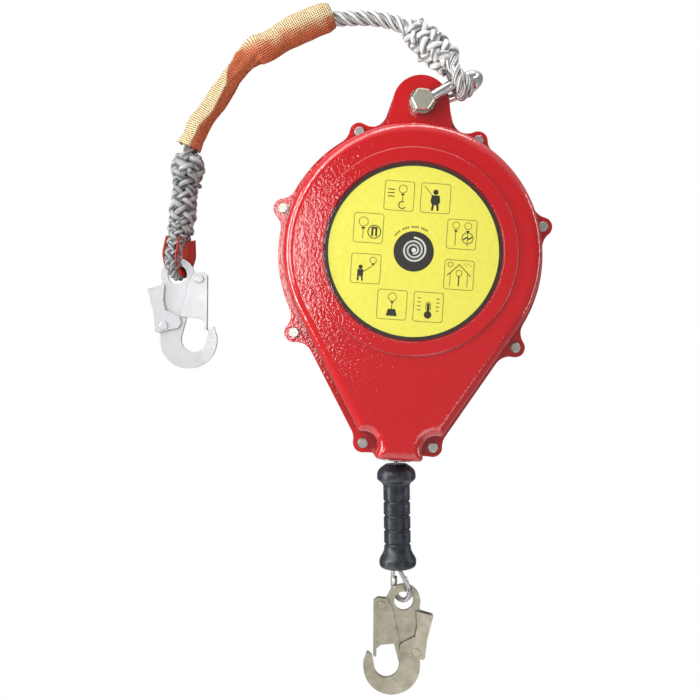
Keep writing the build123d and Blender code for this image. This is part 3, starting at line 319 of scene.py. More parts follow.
BLUED = metal("spring_steel", (0.20, 0.22, 0.30), (0.12, 0.12, 0.16), (0.25, 0.4))
WIRE = metal("wire_rope", (0.75, 0.75, 0.74), (0.45, 0.45, 0.44), (0.2, 0.4),
             grain=(900.0, 900.0, 900.0), scratch=0.4)
THIMBLE = metal("thimble_steel", (0.82, 0.82, 0.81), (0.62, 0.62, 0.62), (0.14, 0.3))
HARNESS = metal("harness_hook_steel", (0.60, 0.555, 0.44), (0.31, 0.28, 0.21), (0.22, 0.44),
                grain=(90.0, 90.0, 700.0), scratch=0.3, solid=0.8)
ANCHOR = metal("anchor_hook_steel", (0.71, 0.72, 0.735), (0.62, 0.63, 0.645), (0.26, 0.38),
               grain=(40.0, 40.0, 160.0), scratch=0.06, solid=0.7)
OUTLET = metal("outlet_steel", (0.80, 0.79, 0.77), (0.6, 0.6, 0.58), (0.18, 0.36))
CASE_BLACK = plastic("case_steel", (0.03, 0.03, 0.032), worn=(0.07, 0.07, 0.07), rough=0.4)
RUBBER = plastic("black_rubber", (0.011, 0.016, 0.023), worn=(0.085, 0.10, 0.12), rough=0.27,
                 grain_scale=520.0, grain=0.9)
LINING = plastic("friction_lining", (0.10, 0.085, 0.07), worn=(0.18, 0.15, 0.12), rough=0.8)
RED_NYLON = plastic("red_thimble", (0.46, 0.032, 0.016), worn=(0.60, 0.08, 0.035), rough=0.32,
                    grain_scale=900.0, grain=0.15)
ROPE = rope_fibre("grey_rope", pale=(1.0, 1.0, 0.98), mid=(0.80, 0.80, 0.785), dark=(0.16, 0.165, 0.17),
                  reach=5.5 * MM)
ROPE_WORN = rope_fibre("grey_rope_worn", pale=(0.66, 0.66, 0.65), mid=(0.34, 0.34, 0.335),
                       dark=(0.07, 0.07, 0.075), reach=8 * MM)
# Painted light and shade: cream threads on the lit side of the fold, orange on the shaded side, dark holes as
# painted shade.
MESH = woven("orange_sleeve", lit_tones=((0.88, 0.70, 0.40), (0.11, 0.035, 0.012)),
             shaded_tones=((0.92, 0.24, 0.075), (0.17, 0.014, 0.006)))

FINISH = {
    "red_enamel": RED, "plate_print": YELLOW, "zinc_steel": ZINC, "bolt_steel": BOLT, "bronze": BRONZE,
    "shackle_steel": SHACKLE, "outlet_steel": OUTLET, "machined_steel": MACHINED, "drum_alloy": ALLOY,
    "case_steel": CASE_BLACK, "spring_steel": BLUED, "friction_lining": LINING, "wire_rope": WIRE,
    "ferrule_alloy": ALLOY, "thimble_steel": THIMBLE, "black_rubber": RUBBER, "grey_rope": ROPE,
    "harness_hook_steel": HARNESS, "anchor_hook_steel": ANCHOR, "orange_sleeve": MESH,
    "red_thimble": RED_NYLON,
}
SLOT_OF = {part["node"]: part["material_slot"] for part in frame["record"]["subparts"]}


def paint(obj, material):
    obj.data.materials.clear()
    obj.data.materials.append(material)


for node_name, node in NODES.items():
    paint(node, FINISH[SLOT_OF[node_name]])
paint(NODES["nameplate"], INK)

# ---- Mesh helpers ----


def linked(name, data):
    """New object with this mesh, light or camera, linked to the scene."""
    obj = bpy.data.objects.new(name, data)
    bpy.context.scene.collection.objects.link(obj)
    return obj


def from_bmesh(name, bm, material, body=None, smooth=True):
    """Object made of the bmesh, which rides on the body when one is named."""
    mesh = bpy.data.meshes.new(name)
    bm.normal_update()
    bm.to_mesh(mesh)
    bm.free()
    mesh.polygons.foreach_set("use_smooth", [smooth] * len(mesh.polygons))
    obj = linked(name, mesh)
    paint(obj, material)
    if body:
        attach(obj, body)
    return obj


def catmull(points, per_span):
    """Smooth curve through the points, with evenly split spans."""
    padded = [2 * points[0] - points[1], *points, 2 * points[-1] - points[-2]]
    curve = []
    for i in range(len(points) - 1):
        p0, p1, p2, p3 = padded[i:i + 4]
        for k in range(per_span):
            t = k / per_span
            square = (2 * p0 - 5 * p1 + 4 * p2 - p3) * t * t
            cube = (3 * p1 - p0 - 3 * p2 + p3) * t ** 3
            curve.append(0.5 * (2 * p1 + (p2 - p0) * t + square + cube))
    curve.append(points[-1].copy())
    return curve


def lengths_along(curve):
    """Distance from the start of the curve to each of its points, along it."""
    travelled = [0.0]
    for a, b in zip(curve, curve[1:]):
        travelled.append(travelled[-1] + (b - a).length)
    return travelled


def resample(curve, step):
    """The curve again, with points a fixed distance apart."""
    total = lengths_along(curve)[-1]
    count = max(2, round(total / step))
    spacing = total / count
    result = [curve[0].copy()]
    walked = 0.0
    want = spacing
    for a, b in zip(curve, curve[1:]):
        length = (b - a).length
        while want <= walked + length + 1e-12 and len(result) < count:
            result.append(a.lerp(b, (want - walked) / length))
            want += spacing
        walked += length
    result.append(curve[-1].copy())
    return result


def moving_frames(curve, first_side):
    """Direction, side and up vectors along a curve, carried along without twist."""
    frames = []
    side = Vector(first_side)
    for i in range(len(curve)):
        ahead = curve[min(i + 1, len(curve) - 1)] - curve[max(i - 1, 0)]
        ahead.normalize()
        side = (side - ahead * side.dot(ahead)).normalized()
        frames.append((ahead, side, ahead.cross(side)))
    return frames


def spoke(curve_frame, angle):
    """Unit vector square to a curve, at an angle from its side vector."""
    return curve_frame[1] * math.cos(angle) + curve_frame[2] * math.sin(angle)


def clear_side(centres):
    """A side direction that isn't along the start of the curve."""
    ahead = (centres[1] - centres[0]).normalized()
    return Vector((0, 1, 0)) if abs(ahead.y) < 0.8 else Vector((0, 0, 1))


def skin(bm, rings):
    """Quads between neighbouring rings. Each comes back with its ring's number and its place on the ring."""
    quads = []
    count = len(rings[0])
    for i in range(len(rings) - 1):
        for k in range(count):
            n = (k + 1) % count
            corners = (rings[i][k], rings[i][n], rings[i + 1][n], rings[i + 1][k])
            quads.append((bm.faces.new(corners), i, k))
    return quads


def quad_corners(face, i, k):
    """A quad's loops, each with its place round the rings and along them."""
    return zip(face.loops, ((k, i), (k + 1, i), (k + 1, i + 1), (k, i + 1)))


def new_bmesh():
    """Empty bmesh with a UV layer."""
    bm = bmesh.new()
    bm.loops.layers.uv.new("UVMap")
    return bm


PLAIN_RIDGE = 0.1  # 'ridge' of a tube without yarns, which gives it the painted groove shade all over
CAP_BULGE = 0.4  # height of a tube's end over its radius


def add_tube(bm, centres, radii, sides, ribs=0, rib_depth=0.0, rib_turns=0.0):
    """Closed tube through the centres. Ribs are yarn ridges that wind along it; UV x runs round, y along."""
    uv_layer = bm.loops.layers.uv["UVMap"]
    frames = moving_frames(centres, clear_side(centres))
    ridge_layer = bm.verts.layers.float.get("ridge") or bm.verts.layers.float.new("ridge")
    travelled = lengths_along(centres)
    rings = []
    for i, centre in enumerate(centres):
        ring = []
        for k in range(sides):
            angle = TURN * k / sides
            ridge = math.cos(ribs * angle + rib_turns * travelled[i]) if ribs else 0.0
            reach = radii[i] * (1 + rib_depth * ridge)
            vertex = bm.verts.new(centre + spoke(frames[i], angle) * reach)
            vertex[ridge_layer] = 0.5 + 0.5 * ridge if ribs else PLAIN_RIDGE
            ring.append(vertex)
        rings.append(ring)
    for quad in skin(bm, rings):
        for loop, (u, v) in quad_corners(*quad):
            loop[uv_layer].uv = (u / sides, travelled[v] / (TURN * radii[v]))
    for end, outward in ((0, -1), (-1, 1)):
        ring = rings[end]
        tip = bm.verts.new(centres[end] + frames[end][0] * outward * radii[0] * CAP_BULGE)
        for k in range(sides):
            pair = (ring[k], ring[(k + 1) % sides])
            bm.faces.new((*pair[::outward], tip))


def lay_strands(bm, curve, radius, lay, strands, side=(0, 1, 0), start_angle=0.0, sides=28, rib_depth=0.06):
    """Strands wound round a curve like a laid rope. The radius is the whole rope's and lay is the length of a
    turn; five yarn ridges wind round each strand."""
    frames = moving_frames(curve, side)
    travelled = lengths_along(curve)
    strand_r = radius * (1 / (1 + 1 / math.sin(math.pi / strands)))
    plump_r = strand_r * 1.02  # so that neighbours press into each other
    yarn_turns = -TURN / lay * 1.6
    for strand in range(strands):
        centres = []
        for centre, curve_frame, length in zip(curve, frames, travelled):
            angle = start_angle + TURN * (strand / strands + length / lay)
            centres.append(centre + spoke(curve_frame, angle) * (radius - strand_r))
        add_tube(bm, centres, [plump_r] * len(curve), sides, 5, rib_depth, yarn_turns)


WEAVE_HANDS = 5  # strands that wind each way round a splice
# Shares of the splice's radius: a strand's way from the middle, its rise and dip, its own radius, the core.
WEAVE_REACH, WEAVE_RISE, WEAVE_STRAND, WEAVE_CORE = 0.67, 0.13, 0.33, 0.6


def weave_splice(bm, curve, radii, lay, start_angle=0.0):
    """Spliced length: strands wound both ways that pass over and under each other, round a filled core."""
    frames = moving_frames(curve, (0, 1, 0))
    travelled = lengths_along(curve)
    for hand in (1, -1):
        for strand in range(WEAVE_HANDS):
            centres = []
            thickness = []
            for i, centre in enumerate(curve):
                turn = travelled[i] / lay
                wander = noise.noise(Vector((travelled[i] * 70, strand * 3.1, hand * 7.7)))
                angle = start_angle + TURN * (strand / WEAVE_HANDS + hand * turn) + 0.22 * wander
                over = hand * math.cos(TURN * WEAVE_HANDS * turn)
                swell = 1 + 0.12 * noise.noise(Vector((travelled[i] * 90, strand * 5.3, hand * 2.9)))
                reach = radii[i] * (WEAVE_REACH + WEAVE_RISE * over) * swell
                centres.append(centre + spoke(frames[i], angle) * reach)
                thickness.append(radii[i] * WEAVE_STRAND * swell)
            add_tube(bm, centres, thickness, sides=20, ribs=3, rib_depth=0.09,
                     rib_turns=-hand * TURN / lay * 5)
    add_tube(bm, curve, [radius * WEAVE_CORE for radius in radii], sides=24)


TUFT_SPACING = 2.4  # angle from one tuft to the next, so that they don't line up
TUFT_R = 2.1 * MM
TUFT_SPREAD = 0.4 * MM  # how much wider its frayed end is


def add_tufts(bm, curve, radii, count, first, last):
    """Cut strand ends that stand out of a splice here and there, between two shares of its length."""
    frames = moving_frames(curve, (0, 1, 0))
    for n in range(count):
        i = round((first + (last - first) * n / max(1, count - 1)) * (len(curve) - 1))
        ahead = frames[i][0]
        out = spoke(frames[i], TUFT_SPACING * n + 0.6)
        lean = ahead * (0.9 if n % 2 else -0.7) + out.cross(ahead) * 0.5
        root = curve[i] + out * radii[i] * 0.7
        tip = root + (out * 0.9 + lean * 0.7) * radii[i] * 0.52
        bend = root.lerp(tip, 0.5) + out * radii[i] * 0.12
        stub = resample(catmull([root, bend, tip], 6), 1.0 * MM)
        width = [TUFT_R + TUFT_SPREAD * k / len(stub) for k in range(len(stub))]
        add_tube(bm, stub, width, sides=14, ribs=5, rib_depth=0.16, rib_turns=500)


# ---- Rope sling ----
MIDDLE = joint_at("sling_bend_middle")
SLING_EYE = joint_at("sling_eye_swing")
ANCHOR_EYE = joint_at("anchor_hook_swing")
PIN = joint_at("shackle_swing")
ROPE_R = 9.3 * MM
ROPE_LAY = 43 * MM
STEP = 1.6 * MM  # spacing of the rings along ropes


def place(x, z, forward=0.0):
    """Point in the suspension plane, given in millimetres, moved forward of it when asked."""
    return Vector((x * MM, MID_Y - forward * MM, z * MM))


def flat(point):
    """The point moved to y = 0."""
    return Vector((point.x, 0, point.z))


def rope_through(bm, points, per_span):
    """Plain laid rope through the points."""
    lay_strands(bm, resample(catmull(points, per_span), STEP), ROPE_R, ROPE_LAY, strands=3)


def shackle_loops(bm, along, across):
    """Two turns of rope side by side round the shackle's leg: down its front, under it and up behind."""
    half = 15.6 * MM
    for lean, start_angle, deeper in ((1, 0.0, 1.0), (-1, 1.1, 1.10)):
        shift = along * lean * 5.2 * MM
        loop = []
        for k in range(5):
            drop = (30 - 8 * k) * MM
            forward = half * deeper * (0.50 + 0.50 * min(1, k / 3))
            loop.append(SLING_EYE + across * drop - shift * (1.1 - 0.45 * k) + Vector((0, -forward, 0)))
        for k in range(1, 8):
            angle = math.pi * k / 8
            under = across * (1.5 * MM + half * math.sin(angle))
            loop.append(SLING_EYE + shift * 0.75 - under - Vector((0, half * deeper * math.cos(angle), 0)))
        for k in range(5):
            drop = (-2 + 8 * k) * MM
            back = half * (1 - 0.5 * max(0, k - 1) / 3)
            loop.append(SLING_EYE + across * drop + shift * (0.75 - 0.35 * k) + Vector((0, back, 0)))
        curve = resample(catmull(loop, 10), STEP)
        lay_strands(bm, curve, radius=6.4 * MM, lay=34 * MM, strands=3, side=tuple(along),
                    start_angle=start_angle)


def splice_radii(curve, radius_at):
    """Radius at each point of a splice, from a formula in millimetres for the share of its length."""
    last = len(curve) - 1
    return [radius_at(i / last) * MM for i in range(len(curve))]


def sling_upper_rope():
    """Eye round the shackle's leg, long splice and the rope that runs into the sleeve."""
    bm = new_bmesh()
    along = (flat(SLING_EYE) - flat(PIN)).normalized()
    across = Vector((-along.z, 0, along.x))
    shackle_loops(bm, along, across)
    splice = [SLING_EYE + across * 22 * MM, place(17.4, 241.3, 14), place(-7.3, 262.8, 7),
              place(-22, 272.2, 4)]
    curve = resample(catmull(splice, 24), STEP)
    radii = splice_radii(curve, lambda t: 14.5 + 4.0 * math.sin(math.pi * min(1, t * 1.1)) ** 0.7
                         - 3.0 * max(0, t - 0.85) / 0.15)
    weave_splice(bm, curve, radii, lay=86 * MM)
    add_tufts(bm, curve, radii, count=9, first=0.05, last=0.95)
    run = [place(-12, 266, 5), place(-22, 272.2, 4), place(-37.5, 278.3, 1), place(-54, 281.5),
           place(-74, 281.6), place(-92, 280), place(-112, 277.5), place(-126, 273.5)]
    rope_through(bm, run, 16)
    obj = from_bmesh("sling_rope_upper_laid", bm, ROPE)
    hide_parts("sling_head", "sling_rope_upper")
    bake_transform(obj)


def eye_frame(centre, up_to, turn):
    """Axes of an eye through its lowest point: across and up, turned about its own length."""
    up = (up_to - centre).normalized()
    across = Vector((up.z, 0, -up.x)) * math.cos(turn) + Vector((0, -1, 0)) * math.sin(turn)
    return across, up


def eye_curve(centre, across, up, half, neck, top):
    """Teardrop loop: down one side, round the bottom and up the other."""
    side = []
    for k in range(9):
        t = k / 9
        ease = t * t * (3 - 2 * t)
        side.append((neck + (half - neck) * ease, top + (half - top) * t))
    points = [(-x, z) for x, z in side]
    for k in range(13):
        angle = math.pi * k / 12
        points.append((-half * math.cos(angle), half - half * math.sin(angle)))
    points += reversed(side)
    return [centre + across * x + up * z for x, z in points]


def rope_eye():
    """The lower eye's axes and its centre line, for the rope and the thimble inside it."""
    across, up = eye_frame(ANCHOR_EYE, place(-276, 14), turn=math.radians(-68))
    return across, up, eye_curve(ANCHOR_EYE, across, up, half=15.3 * MM, neck=7.5 * MM, top=60 * MM)


def sling_lower_rope():
    """Rope out of the sleeve, the bulky lower splice and the eye that holds the anchor hook."""
    bm = new_bmesh()
    top = [place(-258, 138), place(-266, 122), place(-271, 110), place(-273.3, 96), place(-273.6, 84)]
    rope_through(bm, top, 16)
    splice = [place(-272.9, 100), place(-273.4, 84), place(-275.2, 57.8), place(-276.2, 32), place(-276, 8)]
    curve = resample(catmull(splice, 22), STEP)
    radii = splice_radii(curve, lambda t: 14.0 + (5.5 * math.exp(-((t - 0.16) / 0.12) ** 2)
                                                  + 1.6 * math.exp(-((t - 0.72) / 0.18) ** 2)))
    weave_splice(bm, curve, radii, lay=82 * MM, start_angle=0.6)
    add_tufts(bm, curve, radii, count=6, first=0.08, last=0.5)
    across, up, eye = rope_eye()
    lay_strands(bm, resample(catmull(eye, 8), STEP), radius=7.6 * MM, lay=30 * MM, strands=4,
                side=tuple(across.cross(up)), sides=12)
    # The leg in front is woven over, from its top down to the thimble's bend.
    half = len(eye) // 2
    leg = [point for point in eye[:half] if (point - ANCHOR_EYE).dot(up) > 7 * MM]
    if leg[-1].y > MID_Y:
        leg = [point for point in eye[half:] if (point - ANCHOR_EYE).dot(up) > 7 * MM][::-1]
    leg = resample(catmull(leg, 6), STEP)
    leg_radii = [(11.5 - 3.2 * k / len(leg)) * MM for k in range(len(leg))]
    weave_splice(bm, leg, leg_radii, lay=60 * MM, start_angle=0.3)
    obj = from_bmesh("sling_rope_lower_laid", bm, ROPE_WORN)
    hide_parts("sling_rope_lower", "sling_tail")
    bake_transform(obj)


THIMBLE_R = 7.9 * MM  # the channel's outside
THIMBLE_WALL = 1.1 * MM
THIMBLE_TOP = 43 * MM  # height of its ends above the eye's lowest point


def thimble_profile(rise):
    """Half-round channel with flanges, as outward and sideways offsets; they stand out more up the eye."""
    flange = (2.0 + 7.5 * rise) * MM
    spread = (8.0 + 1.4 * rise) * MM
    profile = []
    for inset in (0.0, THIMBLE_WALL):
        radius = THIMBLE_R - inset
        section = [(flange, -(spread - inset))]
        for k in range(-6, 7):
            angle = math.radians(15 * k)
            section.append((-radius * math.cos(angle), radius * math.sin(angle)))
        section.append((flange, spread - inset))
        profile += section[::-1] if inset else section
    return profile


def rope_thimble():
    """Moulded channel inside the lower eye, with flanges that stand out beside the rope."""
    across, up, eye = rope_eye()
    normal = across.cross(up)
    curve = resample(catmull(eye, 8), 1.2 * MM)
    curve = [point for point in curve if (point - ANCHOR_EYE).dot(up) < THIMBLE_TOP]
    bm = new_bmesh()
    rings = []
    for i, point in enumerate(curve):
        ahead = (curve[min(i + 1, len(curve) - 1)] - curve[max(i - 1, 0)]).normalized()
        outward = ahead.cross(normal)
        height = (point - ANCHOR_EYE).dot(up)
        rise = max(0.0, min(1.0, (height - 6 * MM) / (16 * MM)))
        rings.append([bm.verts.new(point + outward * x + normal * z) for x, z in thimble_profile(rise)])
    skin(bm, rings)
    for ring in (rings[0], rings[-1]):
        for k in range(len(ring) // 2 - 1):
            bm.faces.new((ring[k], ring[k + 1], ring[-2 - k], ring[-1 - k]))
    bmesh.ops.recalc_face_normals(bm, faces=bm.faces)
    obj = from_bmesh("sling_thimble_moulded", bm, RED_NYLON, "sling_tail")
    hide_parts("sling_thimble")


# The sleeve's centre line in millimetres, then values along it as (share of its length, value) pairs.
SLEEVE_LINE = ((-113.5, 282.5), (-123, 278), (-137, 271), (-164, 256), (-189, 238.5), (-203, 231),
               (-213, 219.5), (-222, 206.5), (-231, 193.5), (-245.5, 167), (-261.5, 141), (-268, 124.5),
               (-273.5, 110.5))
SLEEVE_HALF_WIDTHS = ((0, 14), (0.012, 16.4), (0.05, 18.6), (0.2, 18.6), (0.3, 17.6), (0.4, 18.3),
                      (0.46, 15.2), (0.53, 13.2), (0.6, 13), (0.68, 14.2), (0.76, 14.3), (0.83, 13.6),
                      (0.89, 14.8), (0.95, 14), (1, 15.4))
# Where the fold lies across the front, from -1 on the upper side to 1 on the lower.
FOLD_PLACES = ((0, 0.35), (0.3, 0.05), (0.44, -0.55), (0.5, -0.98), (0.56, -0.8), (0.66, 0.1), (0.8, 0.32),
               (0.9, 0.12), (1, 0.05))
FOLD_SHARPNESS = ((0.0, 0.1), (0.42, 0.25), (0.52, 0.8), (1.0, 0.8))
SLEEVE_BEND = 0.47  # share of its length where the round upper part ends
SLEEVE_STEP = 1.5 * MM
SLEEVE_SIDES = 96
SLEEVE_WALL = 0.9 * MM
THREAD = 2.5 * MM  # spacing of the net's threads


def eased(table, t):
    """Value at t of a table of (place, value) pairs, eased between them."""
    for (t0, low), (t1, high) in zip(table, table[1:]):
        if t <= t1:
            share = (t - t0) / (t1 - t0)
            return low + (high - low) * share * share * (3 - 2 * share)
    return table[-1][1]


def folded_section(angle, fold, sharp):
    """Place on the sleeve's cross-section, for a half width of one: from round to creased along the fold."""
    round_x = math.sin(angle)
    round_y = -0.86 * math.cos(angle)
    # Angle pi is the front and half pi the lower side, so the corners come in this order.
    crease = math.pi - math.asin(max(-0.92, min(0.92, fold)))
    corners = [(math.pi / 2, (1.0, 0.38)), (crease, (fold, 1.05)), (3 * math.pi / 2, (-1.0, 0.30)),
               (2 * math.pi, (0.15, -0.86)), (5 * math.pi / 2, (1.0, 0.38))]
    turned = angle if angle >= math.pi / 2 else angle + TURN
    for (a0, (x0, y0)), (a1, (x1, y1)) in zip(corners, corners[1:]):
        if turned <= a1:
            share = (turned - a0) / (a1 - a0)
            flat_x = x0 + (x1 - x0) * share
            flat_y = y0 + (y1 - y0) * share
            break
    return round_x + (flat_x - round_x) * sharp, round_y + (flat_y - round_y) * sharp


def apply_modifiers(obj):
    """The object's mesh as its modifiers leave it."""
    depsgraph = bpy.context.evaluated_depsgraph_get()
    shaped = bpy.data.meshes.new_from_object(obj.evaluated_get(depsgraph))
    obj.modifiers.clear()
    old = obj.data
    obj.data = shaped
    bpy.data.meshes.remove(old)


def drape(obj, core, frames):
    """Lets the sleeve settle on the rope: it hangs, and its slack gathers into wrinkles."""
    scene = bpy.context.scene
    core.modifiers.new("collision", "COLLISION")
    core.collision.thickness_outer = 1 * MM
    cloth = obj.modifiers.new("cloth", "CLOTH")
    settings = cloth.settings
    settings.quality = 7
    settings.mass = 0.12
    settings.tension_stiffness = 12
    settings.compression_stiffness = 12
    settings.shear_stiffness = 4
    settings.bending_stiffness = 0.5
    settings.shrink_min = -0.03
    settings.effector_weights.gravity = 0.3
    settings.vertex_group_mass = "pinned"
    settings.pin_stiffness = 1.0
    cloth.collision_settings.distance_min = 1 * MM
    cloth.collision_settings.use_self_collision = False
    cloth.point_cache.frame_end = frames
    scene.frame_end = frames
    for frame_number in range(1, frames + 1):
        scene.frame_set(frame_number)
    apply_modifiers(obj)


def sleeve_ring(bm, lit_layer, centre, curve_frame, t):
    """One ring of the sleeve, at share t of its length: creased, gathered at the top, ragged at the end."""
    ahead, side, up = curve_frame
    half = eased(SLEEVE_HALF_WIDTHS, t) * MM
    fold = eased(FOLD_PLACES, t)
    sharp = eased(FOLD_SHARPNESS, t)
    softness = 0.75 if t < SLEEVE_BEND else 9.0
    ring = []
    for k in range(SLEEVE_SIDES):
        angle = TURN * k / SLEEVE_SIDES
        across, forward = folded_section(angle, fold, sharp)
        out = up * across - side * forward
        crease = noise.noise(Vector((1.6 * math.cos(angle), 1.6 * math.sin(angle), 14 * t)))
        gather = math.sin(11 * angle) * max(0.0, 1 - t / 0.05)
        pucker = math.sin(9 * angle + 60 * t) * math.exp(-((t - 0.46) / 0.06) ** 2) * max(0.0, across)
        reach = half + (1.0 * crease + 0.5 * gather + 0.9 * pucker) * MM
        fray = noise.noise(Vector((3 * math.cos(angle), 3 * math.sin(angle), 5)))
        ragged = 2.0 * MM * fray if t == 1 else 0.0
        vertex = bm.verts.new(centre + out * reach + ahead * ragged)
        # Painted light: places on the upper side of the fold are marked lit, those on the lower side shaded.
        vertex[lit_layer] = max(-0.2, min(1.2, 0.5 + (fold + 0.1 - across) * softness))
        ring.append(vertex)
    return ring


def settle_sleeve(obj, curve):
    """Cloth simulation of the sleeve on a plain core, held loosely all over and firmly at both ends."""
    count = len(curve) * SLEEVE_SIDES
    pins = obj.vertex_groups.new(name="pinned")
    pins.add(list(range(count)), 0.35, "REPLACE")
    pins.add(list(range(4 * SLEEVE_SIDES)), 1.0, "REPLACE")
    pins.add(list(range(count - 4 * SLEEVE_SIDES, count)), 1.0, "REPLACE")
    bm = new_bmesh()
    line = curve[::3]
    add_tube(bm, line, [8.5 * MM] * len(line), 20)
    core = from_bmesh("sleeve_core", bm, ROPE)
    drape(obj, core, frames=14)
    bpy.data.objects.remove(core)


def sling_sleeve():
    """Loose woven sleeve: gathered at its top, creased where the rope bends, folded flat and open below."""
    curve = resample(catmull([place(x, z) for x, z in SLEEVE_LINE], 16), SLEEVE_STEP)
    frames = moving_frames(curve, (0, 1, 0))
    bm = new_bmesh()
    uv_layer = bm.loops.layers.uv["UVMap"]
    lit_layer = bm.verts.layers.float.new("lit")
    last = len(curve) - 1
    rings = [sleeve_ring(bm, lit_layer, curve[i], frames[i], i / last) for i in range(last + 1)]
    rounds = round(TURN * 16 * MM / THREAD)
    for face, i, k in skin(bm, rings):
        # The net is pulled askew below the bend, one way on each side of the fold.
        shear = 0.12 if i < SLEEVE_BEND * last else (0.55 if rings[i][k][lit_layer] > 0.5 else -0.40)
        for loop, (u, v) in quad_corners(face, i, k):
            along = v * SLEEVE_STEP / THREAD
            loop[uv_layer].uv = (u / SLEEVE_SIDES * rounds + shear * along, along)
    bmesh.ops.recalc_face_normals(bm, faces=bm.faces)
    obj = from_bmesh("sling_sleeve_woven", bm, MESH)
    settle_sleeve(obj, curve)
    shell = obj.modifiers.new("thickness", "SOLIDIFY")
    shell.thickness = SLEEVE_WALL
    shell.offset = -1
    apply_modifiers(obj)
    obj.vertex_groups.clear()
    obj.data.polygons.foreach_set("use_smooth", [True] * len(obj.data.polygons))
    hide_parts("sleeve_upper", "sleeve_lower")
    along = (MIDDLE - place(-196, 233.6)).normalized() * 0.034
    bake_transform(obj)


# ---- Wire cable ----
FLEX = joint_at("grip_swing")
HARNESS_EYE = joint_at("harness_hook_swing")


def lay_cable(bm, points, per_span, step, side=(0, 1, 0)):
    """Six-strand wire rope through the points."""
    curve = resample(catmull(points, per_span), step)
    lay_strands(bm, curve, radius=2.5 * MM, lay=26 * MM, strands=6, side=side, sides=10, rib_depth=0.08)


def straight_cable():
    """Cable down from the outlet, through the grip's swing joint and on into the grip."""
    bm = new_bmesh()
    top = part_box("cable_run")[1].z
    down = (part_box("cable_ferrule")[1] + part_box("cable_ferrule")[0]) / 2 - FLEX
    down.normalize()
    start = Vector((0, MID_Y, top))
    middle = Vector((0, MID_Y, (top + FLEX.z) / 2))
    lay_cable(bm, [start, middle, FLEX, FLEX + down * 0.03], 10, 1.2 * MM)
    obj = from_bmesh("cable_laid", bm, WIRE)
    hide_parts("cable_run", "cable_tail")
    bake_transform(obj)


def cable_eye():
    """Eye that holds the harness hook, turned so that both of its legs show."""
    bm = new_bmesh()
    foot = Vector((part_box("cable_ferrule")[0].x + 0.006, MID_Y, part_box("grip")[0].z + 0.002))
    across, up = eye_frame(HARNESS_EYE, foot, turn=math.radians(45))
    eye = eye_curve(HARNESS_EYE, across, up, half=12.7 * MM, neck=2.8 * MM, top=50 * MM)
    lay_cable(bm, eye, 8, 0.9 * MM, tuple(across.cross(up)))
    obj = from_bmesh("cable_eye_laid", bm, WIRE, "grip")
    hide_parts("cable_eye")


sling_upper_rope()
sling_lower_rope()
rope_thimble()
sling_sleeve()
straight_cable()
cable_eye()

# ---- Nameplate print ----
FILM = 0.12 * MM  # one layer of print
SINK = 0.05 * MM  # how far a layer reaches into the one under it
STAGGER = 0.0015 * MM  # steps between shapes of one layer, so that faces which cross don't coincide
YELLOW_R = 98.8
HUB_R = 23.3
SQUARE = 34
SQUARE_CORNER = 3
SQUARE_LINE = 0.5


class Print:
    """Flat shapes in one ink, each a thin solid standing on the nameplate. Sizes are in millimetres, and
    places are measured from self.centre on the plate."""

    def __init__(self, layer):
        self.bm = bmesh.new()
        self.back = PLATE_Y - FILM * (layer - 1)
        self.front = PLATE_Y - FILM * layer
        self.count = 0
        self.centre = (0, 0)

    def solid(self, outline):
        """Filled simple outline."""
        self.count += 1
        sides = []
        for y in (self.front - STAGGER * (self.count % 12), self.back + SINK):
            sides.append([self.bm.verts.new(((self.centre[0] + x) * MM, y, (self.centre[1] + z) * MM))
                          for x, z in outline])
        front, back = sides
        self.bm.faces.new(front)
        self.bm.faces.new(back[::-1])
        for k in range(len(outline)):
            n = (k + 1) % len(outline)
            self.bm.faces.new((front[n], front[k], back[k], back[n]))

    def disc(self, x, z, radius, sides=40):
        angles = [TURN * k / sides for k in range(sides)]
        self.solid([(x + radius * math.cos(angle), z + radius * math.sin(angle)) for angle in angles])

    def line(self, *points, width=0.7):
        """Stroke with rounded joints."""
        for (x0, z0), (x1, z1) in zip(points, points[1:]):
            length = math.hypot(x1 - x0, z1 - z0)
            dx = (x1 - x0) / length * width / 2
            dz = (z1 - z0) / length * width / 2
            self.solid([(x0 + dz, z0 - dx), (x1 + dz, z1 - dx), (x1 - dz, z1 + dx), (x0 - dz, z0 + dx)])
        for x, z in points:
            self.disc(x, z, width / 2, 10)

    def arc(self, x, z, radius, start=0, end=360, width=0.7, steps=32):
        """Open or full ring drawn as short quads."""
        for k in range(steps):
            a0 = math.radians(start + (end - start) * k / steps)
            a1 = math.radians(start + (end - start) * (k + 1) / steps)
            inner = radius - width / 2
            outer = radius + width / 2
            corners = ((inner, a0), (outer, a0), (outer, a1), (inner, a1))
            self.solid([(x + r * math.cos(angle), z + r * math.sin(angle)) for r, angle in corners])

    def square(self):
        """Thin rounded frame round a sign."""
        half = SQUARE / 2
        inset = half - SQUARE_CORNER
        for sx, sz, start in ((1, 1, 0), (-1, 1, 90), (-1, -1, 180), (1, -1, 270)):
            self.arc(sx * inset, sz * inset, SQUARE_CORNER, start, start + 90, SQUARE_LINE, 6)
        for edge in (-half, half):
            self.line((-inset, edge), (inset, edge), width=SQUARE_LINE)
            self.line((edge, -inset), (edge, inset), width=SQUARE_LINE)

    def reel(self, x, z, size=1.0):
        """Round housing with a pointed outlet below it."""
        self.arc(x, z, 4.6 * size, width=0.6)
        self.solid([(x - 2.4 * size, z - 5.4 * size), (x + 2.4 * size, z - 5.4 * size), (x, z - 8.4 * size)])

    def finish(self, name, material):
        bmesh.ops.recalc_face_normals(self.bm, faces=self.bm.faces)
        obj = from_bmesh(name, self.bm, material, "housing", smooth=False)


